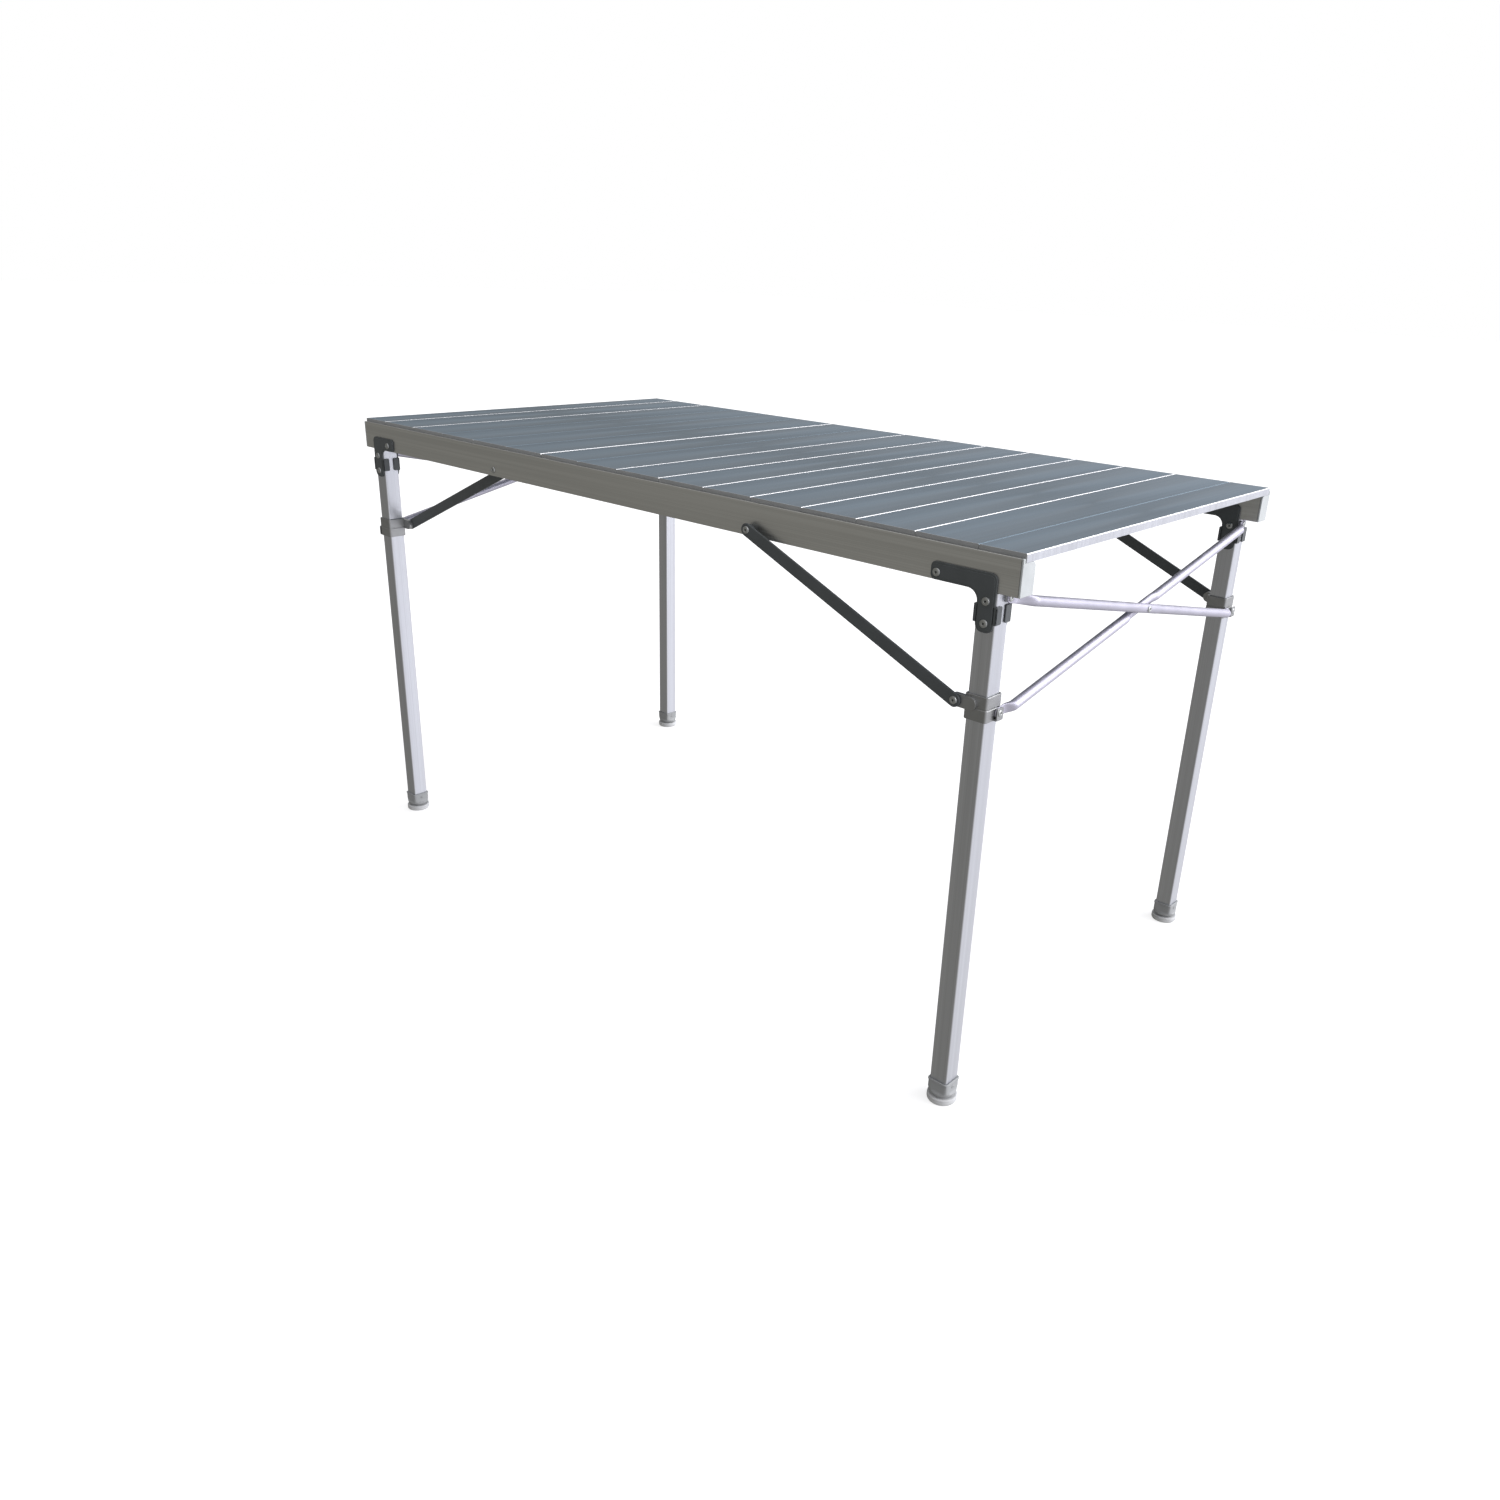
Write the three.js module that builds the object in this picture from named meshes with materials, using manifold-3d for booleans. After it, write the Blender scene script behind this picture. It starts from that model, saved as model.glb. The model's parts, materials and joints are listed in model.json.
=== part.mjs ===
// A folding picnic table: a roll-up aluminium slat top lies on two rails, and the legs fold in under the
// rails while the crossed tubes at each end draw the front rail and the rear rail together.
// Millimetres. +X runs along the table, -Y is the front and +Z is up.
// The origin is on the floor under the table's middle.
import * as THREE from "three";
import { mergeVertices } from "three/addons/utils/BufferGeometryUtils.js";
import Module from "manifold-3d";

const wasm = await Module();
wasm.setup();

// Overall sizes.
const TABLE_LENGTH = 1264;
const TABLE_DEPTH = 652;
const TABLE_HEIGHT = 700;
const GAP = 0.3; // between pieces that touch
const CUT_PAST = 1; // how far a hole is cut past the face it leaves by
const SUNK = 1; // how far one part of a piece reaches into the part it is joined to

// Slat top: full slats with a narrower one at each end.
const FULL_SLATS = 14;
const END_SLAT_WIDTH = 58;
const SLAT_THICKNESS = 9.6;
const SLAT_WALL = 1.1;
const SLAT_CHAMFER = 0.9;
const SLAT_CELLS = 3;
const SLAT_JOINT = 0.6; // between neighbouring slats
const SLAT_END_GAP = 2; // between a slat's end and the rail's lip

// Rails: a hollow box with a ledge for the slats and an outer lip.
const RAIL_DEPTH_BELOW_TOP = 46;
const RAIL_WALL = 1.6;
const LIP_THICKNESS = 3.5;
const LIP_BELOW_TOP = 5;
const CAP_FLANGE = 2.5;
const CAP_PLUG = 14;
const CAP_CORNER = 6;

// Legs and feet.
const LEG_SIZE = 25;
const RAIL_WIDTH = LEG_SIZE; // the bracket plates lie flat on both
const LEG_WALL = 1.5;
const LEG_CORNER = 2;
const LEG_INSET = 38.4; // from the rail's end to the leg's middle
const FOOT_PAD_DIAMETER = 38;
const FOOT_PAD_HEIGHT = 9;
const FOOT_PAD_EDGE = 2.5;
const FOOT_GROOVE = 3;
const FOOT_STEM_DIAMETER = 8;
const FOOT_STEM_LENGTH = 21;
const FOOT_SLEEVE_WALL = 1.5;
const FOOT_SLEEVE_HEIGHT = 20;
const FOOT_SLEEVE_FLOOR = 4;
const FOOT_FLARE_DIAMETER = 34;
const FOOT_FLARE_HEIGHT = 5;

// L-shaped brackets, one on each face of the rail, that carry the leg.
const BRACKET_PLATE = 2;
const BRACKET_WIDTH = 22.6; // of the part that runs down the leg
const BRACKET_ARM_TOP = 25.5; // below the table top, as are the next two
const BRACKET_ARM_BOTTOM = 45.5;
const BRACKET_BOTTOM = 90;
const BRACKET_OUTER_CORNER = 8;
const BRACKET_INNER_CORNER = 15;
const BRACKET_END_CHAMFER = 5;
const BRACKET_END_CORNER = 1;
const BRACKET_FOOT_CORNER = 9;
const BRACKET_TAB_TOP = 60;
const BRACKET_TAB_BOTTOM = 80;
const BRACKET_TAB_DEPTH = 9;
const BRACKET_TAB_PLATE = 1.6;
const LEG_RIVET_DROPS = [56, 80];

// Rivets.
const RIVET_DIAMETER = 6;
const RIVET_HEAD_DIAMETER = 9.5;
const RIVET_HEAD_HEIGHT = 1.6;
const SMALL_RIVET_DIAMETER = 4.6;
const SMALL_RIVET_HEAD_DIAMETER = 8.4;
const SMALL_RIVET_HEAD_HEIGHT = 1.2;
const LEG_RIVET_HOLE = 5.2;

// Folding linkage. The right legs stop short of level, so that the left feet pass over them.
const PIVOT_DROP = 37; // rail pivots below the table top
const LEFT_FOLD = THREE.MathUtils.degToRad(90);
const RIGHT_FOLD = THREE.MathUtils.degToRad(84);
const RIGHT_CRANK_INSET = 103; // from the rail's end to the bracket's pivot
const LEFT_CRANK_INSET = 70;
const RIGHT_ARM_TAIL = 8; // of the bracket's arm past its pivot
const LEFT_ARM_TAIL = 15.5;
const RIGHT_BRACE_INSET = 378.7; // from the rail's end to the brace's pivot
const BRACE_WIDTH = 16;
const BRACE_THICKNESS = 3;
const BRACE_STANDOFF = 6.7; // from the rail's face
const SPACER_DIAMETER = 12;

// Collars that slide on the legs.
const COLLAR_WALL = 2;
const COLLAR_TOP = 160; // below the table top
const COLLAR_CORNER = 3;
const LUG_REACH = 24; // from the leg's middle to the brace's pivot
const LUG_RADIUS = 7.5;
const LUG_PIVOT = 10; // below the collar's top
const TUBE_PIVOT = 21; // below the collar's top
const EAR_PLATE = 1.6;
const EAR_WEB = 2;
const EAR_START = 1.5; // from the leg's middle, across the face
const EAR_WIDTH = 12.5;
const EAR_ABOVE_PIVOT = 6;

// Crossed end tubes.
const TUBE_DIAMETER = 12;
const TUBE_END_THICKNESS = 1.8;
const TUBE_END_FLAT = 9; // from the pivot to where the flat starts to round out
const TUBE_PIVOT_OFFSET = 7.5; // from the leg's middle, towards the table's middle
const TUBE_CLEARANCE = 0.5; // of a tube's upper end under the rail and of its lower end over the ear's web
const TUBE_TOP_DROP = RAIL_DEPTH_BELOW_TOP + TUBE_DIAMETER / 2 + TUBE_CLEARANCE; // of the upper pivots
const TUBE_SPACING = 6.3; // between the two tubes' middles
const INNER_TUBE_TAPER = 14;
const OUTER_TUBE_TAPER = 24;
const DENT_REACH = 28; // from the crossing to where the pressed flat ends
const DENT_TAPER = 12;
const FLAT_SQUARENESS = 0.35; // the power that squares off the section of a flat end

// Worked-out places.
const HALF_LENGTH = TABLE_LENGTH / 2;
const HALF_DEPTH = TABLE_DEPTH / 2;
const SLAT_PITCH = (TABLE_LENGTH - 2 * END_SLAT_WIDTH) / FULL_SLATS;
const SLAT_LENGTH = TABLE_DEPTH - 2 * (LIP_THICKNESS + SLAT_END_GAP);
const LEDGE_Z = TABLE_HEIGHT - SLAT_THICKNESS - GAP;
const RAIL_BOTTOM_Z = TABLE_HEIGHT - RAIL_DEPTH_BELOW_TOP;
const PIVOT_Z = TABLE_HEIGHT - PIVOT_DROP;
const LEG_TOP_Z = RAIL_BOTTOM_Z - GAP;
const SLEEVE_BOTTOM_Z = FOOT_PAD_HEIGHT + FOOT_GROOVE;
const LEG_BOTTOM_Z = SLEEVE_BOTTOM_Z + FOOT_SLEEVE_FLOOR + GAP;
const COLLAR_TOP_Z = TABLE_HEIGHT - COLLAR_TOP;
const COLLAR_HEIGHT = TUBE_PIVOT + TUBE_DIAMETER / 2 + TUBE_CLEARANCE + EAR_WEB;
const LUG_PIVOT_Z = COLLAR_TOP_Z - LUG_PIVOT;
const TUBE_LOW_Z = COLLAR_TOP_Z - TUBE_PIVOT;
const TUBE_HIGH_Z = TABLE_HEIGHT - TUBE_TOP_DROP;
const LEG_Y = HALF_DEPTH - RAIL_WIDTH / 2;
const TUBE_PIVOT_Y = LEG_Y - TUBE_PIVOT_OFFSET;
const TUBE_LENGTH = Math.hypot(2 * TUBE_PIVOT_Y, TUBE_HIGH_Z - TUBE_LOW_Z);
const LUG_PLATE = BRACE_STANDOFF - 2 * GAP;
const HALF_LEG = LEG_SIZE / 2;
const COLLAR_FACE = GAP + COLLAR_WALL; // of the collar outside the leg's face
const TAB_START = COLLAR_FACE + GAP; // of a tube's flat end outside the leg's face
const TAB_END = TAB_START + TUBE_END_THICKNESS;
const EAR_START_X = TAB_END + GAP;
const INNER_TUBE_X = COLLAR_FACE + GAP + TUBE_DIAMETER / 2;
const CIRCLE_STEPS = 12;
const ARC_STEPS = 3;
const ROUND_END_STEPS = 4;
const TAPER_STEPS = 4;
const DENT_STEPS = 2;

// How far down the leg from its bracket pivot the lug pivot sits with the table open.
const OPEN_TRAVEL = LUG_PIVOT + COLLAR_TOP - PIVOT_DROP;

// How far down the leg the lug pivot sits once the leg has turned by `fold` about its bracket pivot:
// the brace keeps its length, and `crank` is how far out from the bracket pivot the lug pivot stands.
function foldedTravel(braceReach, crank, fold) {
  const lengthSquared = (braceReach + crank) ** 2 + OPEN_TRAVEL ** 2;
  const across = braceReach + crank * Math.cos(fold);
  const half = across * Math.sin(fold) - crank * Math.sin(fold) * Math.cos(fold);
  return half + Math.sqrt(half ** 2 - across ** 2 - (crank * Math.sin(fold)) ** 2 + lengthSquared);
}

// The left brace reaches just as far along its rail as makes all four collars travel the same way.
function leftBraceReach() {
  const rightCrank = RIGHT_CRANK_INSET - LEG_INSET - LUG_REACH;
  const leftCrank = LEFT_CRANK_INSET - LEG_INSET - LUG_REACH;
  const rightReach = RIGHT_BRACE_INSET - RIGHT_CRANK_INSET;
  const travel = foldedTravel(rightReach, rightCrank, RIGHT_FOLD);
  const leftTravelAt = (reach) => foldedTravel(reach, leftCrank, LEFT_FOLD);
  let low = 0;
  let high = 2 * travel;
  while (high - low > 1e-9) {
    const middle = (low + high) / 2;
    if (leftTravelAt(middle) < travel) low = middle;
    else high = middle;
  }
  return low;
}

// The two ends of the table. `sign` is the end's side of the middle along X, and `braceFace` is +1 where the
// braces lie on the rails' outer faces and -1 where they lie on the inner faces.
const ENDS = {
  left: {
    sign: -1,
    crankInset: LEFT_CRANK_INSET,
    armTail: LEFT_ARM_TAIL,
    braceInset: LEFT_CRANK_INSET + leftBraceReach(),
    braceFace: -1,
  },
  right: {
    sign: 1,
    crankInset: RIGHT_CRANK_INSET,
    armTail: RIGHT_ARM_TAIL,
    braceInset: RIGHT_BRACE_INSET,
    braceFace: 1,
  },
};
const SIDES = { front: -1, rear: 1 };

// Finishes.
const FINISHES = {
  slat: { color: 0x6f808d, roughness: 0.42, metalness: 0.75 },
  aluminium: { color: 0xb9bab6, roughness: 0.38, metalness: 0.85 },
  tube: { color: 0xd6d7da, roughness: 0.25, metalness: 0.9 },
  collar: { color: 0x8b8f8d, roughness: 0.4, metalness: 0.7 },
  blackSteel: { color: 0x26282a, roughness: 0.5, metalness: 0.3 },
  rivet: { color: 0x9a9c9b, roughness: 0.3, metalness: 0.9 },
  capPlastic: { color: 0xc3c9cb, roughness: 0.55, metalness: 0 },
  footPlastic: { color: 0x9ea4a3, roughness: 0.6, metalness: 0 },
};

const table = new THREE.Group();

// --- Solids --------------------------------------------------------------------------------------

// A closed three.js geometry as a solid that can be joined and cut.
function solidOf(geometry) {
  const plain = geometry.clone();
  plain.deleteAttribute("normal");
  plain.deleteAttribute("uv");
  const merged = mergeVertices(plain, 1e-4);
  return new wasm.Manifold(
    new wasm.Mesh({
      numProp: 3,
      vertProperties: new Float32Array(merged.attributes.position.array),
      triVerts: new Uint32Array(merged.index.array),
    }),
  );
}

function join(first, ...others) {
  return others.reduce((whole, piece) => whole.add(piece), first);
}

function cut(whole, ...holes) {
  return holes.reduce((rest, hole) => rest.subtract(hole), whole);
}

function geometryOf(solid) {
  const mesh = solid.getMesh();
  const geometry = new THREE.BufferGeometry();
  geometry.setAttribute("position", new THREE.BufferAttribute(new Float32Array(mesh.vertProperties), 3));
  geometry.setIndex(new THREE.BufferAttribute(new Uint32Array(mesh.triVerts), 1));
  const faceted = geometry.toNonIndexed();
  faceted.computeVertexNormals();
  return faceted;
}

function addPiece(name, solid, finish) {
  const mesh = new THREE.Mesh(geometryOf(solid), new THREE.MeshStandardMaterial(FINISHES[finish]));
  mesh.name = name;
  table.add(mesh);
}

// An outline extruded straight up, from one height to another.
function upright(shape, low, high) {
  const options = { depth: high - low, bevelEnabled: false, curveSegments: ARC_STEPS };
  return solidOf(new THREE.ExtrudeGeometry(shape, options).translate(0, 0, low));
}

// An outline drawn in X and Z, extruded along Y.
function plate(shape, low, high) {
  const options = { depth: high - low, bevelEnabled: false, curveSegments: ARC_STEPS };
  return solidOf(new THREE.ExtrudeGeometry(shape, options).rotateX(Math.PI / 2).translate(0, high, 0));
}

// An outline drawn in Y and Z, extruded along X.
function beam(shape, low, high) {
  const options = { depth: high - low, bevelEnabled: false, curveSegments: ARC_STEPS };
  const geometry = new THREE.ExtrudeGeometry(shape, options).rotateX(Math.PI / 2).rotateZ(Math.PI / 2);
  return solidOf(geometry.translate(low, 0, 0));
}

// A box between two corners, given in either order on each axis.
function block(x0, x1, y0, y1, z0, z1) {
  const geometry = new THREE.BoxGeometry(Math.abs(x1 - x0), Math.abs(y1 - y0), Math.abs(z1 - z0));
  return solidOf(geometry.translate((x0 + x1) / 2, (y0 + y1) / 2, (z0 + z1) / 2));
}

// A round bar along one axis, through the point (a, b) on the other two, in X, Y, Z order.
function bar(axis, diameter, a, b, from, to) {
  const geometry = new THREE.CylinderGeometry(diameter / 2, diameter / 2, Math.abs(to - from), CIRCLE_STEPS);
  const middle = (from + to) / 2;
  if (axis === "x") return solidOf(geometry.rotateZ(Math.PI / 2).translate(middle, a, b));
  if (axis === "y") return solidOf(geometry.translate(a, middle, b));
  return solidOf(geometry.rotateX(Math.PI / 2).translate(a, b, middle));
}

// An outline with a radius at each corner: points are [u, v, radius], anticlockwise.
function roundedShape(points) {
  const shape = new THREE.Shape();
  points.forEach(([u, v, radius], i) => {
    const before = points.at(i - 1);
    const after = points[(i + 1) % points.length];
    const toBefore = new THREE.Vector2(before[0] - u, before[1] - v).normalize();
    const toAfter = new THREE.Vector2(after[0] - u, after[1] - v).normalize();
    const setback = radius / Math.tan(toBefore.angleTo(toAfter) / 2);
    const start = new THREE.Vector2(u, v).addScaledVector(toBefore, setback);
    const end = new THREE.Vector2(u, v).addScaledVector(toAfter, setback);
    if (i === 0) shape.moveTo(start.x, start.y);
    else shape.lineTo(start.x, start.y);
    if (radius > 0) shape.quadraticCurveTo(u, v, end.x, end.y);
  });
  shape.closePath();
  return shape;
}

function roundedSquare(u, v, size, corner) {
  const half = size / 2;
  return roundedShape([
    [u - half, v - half, corner],
    [u + half, v - half, corner],
    [u + half, v + half, corner],
    [u - half, v + half, corner],
  ]);
}

function rectanglePath(u0, u1, v0, v1) {
  const path = new THREE.Path();
  path.moveTo(u0, v0);
  path.lineTo(u0, v1);
  path.lineTo(u1, v1);
  path.lineTo(u1, v0);
  path.closePath();
  return path;
}

// Mirrors an outline's points left to right when `sign` is -1, and keeps them anticlockwise.
function facing(sign, points) {
  const turned = points.map(([u, v, radius]) => [sign * u, v, radius]);
  return sign < 0 ? turned.reverse() : turned;
}

// --- Slat top ------------------------------------------------------------------------------------

// A hollow slat, open at its ends, with chamfered top edges.
function slat(x0, x1) {
  const top = TABLE_HEIGHT;
  const bottom = TABLE_HEIGHT - SLAT_THICKNESS;
  const outline = new THREE.Shape();
  outline.moveTo(x0, bottom);
  outline.lineTo(x1, bottom);
  outline.lineTo(x1, top - SLAT_CHAMFER);
  outline.lineTo(x1 - SLAT_CHAMFER, top);
  outline.lineTo(x0 + SLAT_CHAMFER, top);
  outline.lineTo(x0, top - SLAT_CHAMFER);
  outline.closePath();
  const cell = (x1 - x0 - SLAT_WALL) / SLAT_CELLS;
  const cells = Array.from({ length: SLAT_CELLS }, (_, i) => {
    const start = x0 + SLAT_WALL + i * cell;
    const end = start + cell - SLAT_WALL;
    return block(start, end, -SLAT_LENGTH, SLAT_LENGTH, bottom + SLAT_WALL, top - SLAT_WALL);
  });
  return cut(plate(outline, -SLAT_LENGTH / 2, SLAT_LENGTH / 2), ...cells);
}

function addSlatTop() {
  const slats = FULL_SLATS + 2;
  for (let i = 0; i < slats; i++) {
    const start = i === 0 ? -HALF_LENGTH : -HALF_LENGTH + END_SLAT_WIDTH + (i - 1) * SLAT_PITCH;
    const end = i === slats - 1 ? HALF_LENGTH : -HALF_LENGTH + END_SLAT_WIDTH + i * SLAT_PITCH;
    const startGap = i === 0 ? 0 : SLAT_JOINT / 2;
    const endGap = i === slats - 1 ? 0 : SLAT_JOINT / 2;
    addPiece("slat_" + String(i + 1).padStart(2, "0"), slat(start + startGap, end - endGap), "slat");
  }
}

// --- Rails ---------------------------------------------------------------------------------------

// The rail's section in Y and Z; `corner` rounds the inner top corner of the end cap.
function railOutline(side, corner) {
  const outer = HALF_DEPTH;
  const inner = HALF_DEPTH - RAIL_WIDTH;
  return roundedShape(
    facing(side, [
      [inner, RAIL_BOTTOM_Z, 0],
      [outer, RAIL_BOTTOM_Z, 0],
      [outer, TABLE_HEIGHT - LIP_BELOW_TOP, 0],
      [outer - LIP_THICKNESS, TABLE_HEIGHT - LIP_BELOW_TOP, 0],
      [outer - LIP_THICKNESS, LEDGE_Z, 0],
      [inner, LEDGE_Z, corner],
    ]),
  );
}

// The hollow of the rail, smaller all round by `clearance`.
function railHollow(side, clearance) {
  const inset = RAIL_WALL + clearance;
  const y0 = side * (HALF_DEPTH - RAIL_WIDTH + inset);
  const y1 = side * (HALF_DEPTH - inset);
  return [y0, y1, RAIL_BOTTOM_Z + inset, LEDGE_Z - inset];
}

function addRail(sideName) {
  const side = SIDES[sideName];
  const end = HALF_LENGTH - CAP_FLANGE - GAP;
  const [y0, y1, z0, z1] = railHollow(side, 0);
  const holes = Object.values(ENDS).flatMap(({ sign, crankInset, braceInset }) =>
    [crankInset, braceInset].map((inset) => {
      const x = sign * (HALF_LENGTH - inset);
      const [inner, outer] = [HALF_DEPTH - RAIL_WIDTH - CUT_PAST, HALF_DEPTH + CUT_PAST];
      return bar("y", RIVET_DIAMETER + 2 * GAP, x, PIVOT_Z, side * inner, side * outer);
    }),
  );
  const hollow = block(-HALF_LENGTH, HALF_LENGTH, y0, y1, z0, z1);
  addPiece("rail_" + sideName, cut(beam(railOutline(side, 0), -end, end), hollow, ...holes), "aluminium");
}

// A plastic cap on the rail's end, with a hollow plug inside the rail.
function addRailCap(sideName, endName) {
  const side = SIDES[sideName];
  const { sign } = ENDS[endName];
  const face = sign * HALF_LENGTH;
  const seat = sign * (HALF_LENGTH - CAP_FLANGE);
  const plugEnd = sign * (HALF_LENGTH - CAP_FLANGE - CAP_PLUG);
  const flange = beam(railOutline(side, CAP_CORNER), Math.min(face, seat), Math.max(face, seat));
  const [y0, y1, z0, z1] = railHollow(side, GAP);
  const [hy0, hy1, hz0, hz1] = railHollow(side, GAP + RAIL_WALL);
  const boreStart = seat - sign * SUNK;
  const boreEnd = plugEnd - sign * CUT_PAST;
  const plug = cut(block(seat, plugEnd, y0, y1, z0, z1), block(boreStart, boreEnd, hy0, hy1, hz0, hz1));
  addPiece("rail_cap_" + sideName + "_" + endName, join(flange, plug), "capPlastic");
}

// --- Legs and feet -------------------------------------------------------------------------------

function legPlace(sideName, endName) {
  return { x: ENDS[endName].sign * (HALF_LENGTH - LEG_INSET), y: SIDES[sideName] * LEG_Y };
}

// A pin that stands out of a face that looks along X: a shank from `start` and a head that begins at `head`.
function pinAlongX(sign, faceX, y, z, start, head) {
  const at = (out) => faceX + sign * out;
  return [
    bar("x", SMALL_RIVET_DIAMETER, y, z, at(start), at(head + SMALL_RIVET_HEAD_HEIGHT / 2)),
    bar("x", SMALL_RIVET_HEAD_DIAMETER, y, z, at(head), at(head + SMALL_RIVET_HEAD_HEIGHT)),
  ];
}

// A square tube leg that carries the upper pivot of one crossed tube on its outer face.
function addLeg(sideName, endName) {
  const { x, y } = legPlace(sideName, endName);
  const { sign } = ENDS[endName];
  const side = SIDES[sideName];
  const outline = roundedSquare(x, y, LEG_SIZE, LEG_CORNER);
  const inner = HALF_LEG - LEG_WALL;
  outline.holes.push(rectanglePath(x - inner, x + inner, y - inner, y + inner));
  const tube = upright(outline, LEG_BOTTOM_Z, LEG_TOP_Z);
  const holes = LEG_RIVET_DROPS.map((drop) =>
    bar("y", LEG_RIVET_HOLE, x, TABLE_HEIGHT - drop, y - LEG_SIZE, y + LEG_SIZE),
  );
  const faceX = x + sign * HALF_LEG;
  const pivotY = side * TUBE_PIVOT_Y;
  const start = -LEG_WALL / 2;
  const pin = pinAlongX(sign, faceX, pivotY, TUBE_HIGH_Z, start, EAR_START_X);
  const spacerEnd = faceX + sign * COLLAR_FACE;
  pin.push(bar("x", SMALL_RIVET_HEAD_DIAMETER, pivotY, TUBE_HIGH_Z, faceX + sign * start, spacerEnd));
  addPiece("leg_" + sideName + "_" + endName, join(cut(tube, ...holes), ...pin), "aluminium");
}

// The plastic cup on the leg's end, flared at the bottom, with a hole for the pad's stem.
function addFootSleeve(sideName, endName) {
  const { x, y } = legPlace(sideName, endName);
  const bottom = SLEEVE_BOTTOM_Z;
  const size = LEG_SIZE + 2 * (GAP + FOOT_SLEEVE_WALL);
  const outline = roundedSquare(x, y, size, LEG_CORNER + FOOT_SLEEVE_WALL);
  const cup = upright(outline, bottom, bottom + FOOT_SLEEVE_HEIGHT);
  const flare = bar("z", FOOT_FLARE_DIAMETER, x, y, bottom, bottom + FOOT_FLARE_HEIGHT);
  const bore = roundedSquare(x, y, LEG_SIZE + 2 * GAP, LEG_CORNER);
  const socket = upright(bore, bottom + FOOT_SLEEVE_FLOOR, TABLE_HEIGHT);
  const stemHole = bar("z", FOOT_STEM_DIAMETER + 2 * GAP, x, y, 0, TABLE_HEIGHT);
  addPiece("foot_sleeve_" + sideName + "_" + endName, cut(join(cup, flare), socket, stemHole), "footPlastic");
}

// The round pad under the leg, on a stem that screws up through the sleeve.
function addFootPad(sideName, endName) {
  const { x, y } = legPlace(sideName, endName);
  const radius = FOOT_PAD_DIAMETER / 2;
  const stem = FOOT_STEM_DIAMETER / 2;
  const profile = [
    new THREE.Vector2(0, 0),
    new THREE.Vector2(radius - FOOT_PAD_EDGE, 0),
    new THREE.Vector2(radius, FOOT_PAD_EDGE),
    new THREE.Vector2(radius, FOOT_PAD_HEIGHT - FOOT_PAD_EDGE / 2),
    new THREE.Vector2(radius - FOOT_PAD_EDGE / 2, FOOT_PAD_HEIGHT),
    new THREE.Vector2(stem, FOOT_PAD_HEIGHT),
    new THREE.Vector2(stem, FOOT_PAD_HEIGHT + FOOT_STEM_LENGTH),
    new THREE.Vector2(0, FOOT_PAD_HEIGHT + FOOT_STEM_LENGTH),
  ];
  const turned = new THREE.LatheGeometry(profile, CIRCLE_STEPS).rotateX(Math.PI / 2).translate(x, y, 0);
  addPiece("foot_pad_" + sideName + "_" + endName, solidOf(turned), "footPlastic");
}

// --- Brackets ------------------------------------------------------------------------------------

// One L-shaped plate: an arm along the rail to the pivot, a part down the leg and a tab round each side of it.
// `face` is +1 for the plate on the rail's outer face and -1 for the one on its inner face.
function addBracket(sideName, endName, faceName, face) {
  const { x, y } = legPlace(sideName, endName);
  const { sign, crankInset, armTail } = ENDS[endName];
  const outward = SIDES[sideName] * face;
  const near = y + outward * (RAIL_WIDTH / 2 + GAP);
  const far = near + outward * BRACKET_PLATE;
  const half = BRACKET_WIDTH / 2;
  const armEnd = crankInset - LEG_INSET + armTail;
  const z = (drop) => TABLE_HEIGHT - drop;
  const outline = facing(-sign, [
    [-half, z(BRACKET_BOTTOM), BRACKET_FOOT_CORNER],
    [half, z(BRACKET_BOTTOM), BRACKET_FOOT_CORNER],
    [half, z(BRACKET_ARM_BOTTOM), BRACKET_INNER_CORNER],
    [armEnd - BRACKET_END_CHAMFER, z(BRACKET_ARM_BOTTOM), BRACKET_END_CORNER],
    [armEnd, z(BRACKET_ARM_BOTTOM - BRACKET_END_CHAMFER), BRACKET_END_CORNER],
    [armEnd, z(BRACKET_ARM_TOP + BRACKET_END_CHAMFER), BRACKET_END_CORNER],
    [armEnd - BRACKET_END_CHAMFER, z(BRACKET_ARM_TOP), BRACKET_END_CORNER],
    [-half, z(BRACKET_ARM_TOP), BRACKET_OUTER_CORNER],
  ]).map(([u, v, radius]) => [x + u, v, radius]);
  const body = plate(roundedShape(outline), Math.min(near, far), Math.max(near, far));
  const tabInner = HALF_LEG + GAP;
  const tabOuter = tabInner + BRACKET_TAB_PLATE;
  const tabs = [-1, 1].flatMap((way) => {
    const heights = [z(BRACKET_TAB_BOTTOM), z(BRACKET_TAB_TOP)];
    const wing = block(x + way * (half - SUNK), x + way * tabOuter, near, far, ...heights);
    const inward = near - outward * BRACKET_TAB_DEPTH;
    return [wing, block(x + way * tabInner, x + way * tabOuter, inward, far, ...heights)];
  });
  const pivotX = sign * (HALF_LENGTH - crankInset);
  const through = [near - outward * CUT_PAST, far + outward * CUT_PAST];
  const holes = LEG_RIVET_DROPS.map((drop) => bar("y", LEG_RIVET_HOLE, x, z(drop), ...through));
  holes.push(bar("y", RIVET_DIAMETER + 2 * GAP, pivotX, PIVOT_Z, ...through));
  const name = "bracket_" + faceName + "_" + sideName + "_" + endName;
  addPiece(name, cut(join(body, ...tabs), ...holes), "blackSteel");
}

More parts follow.
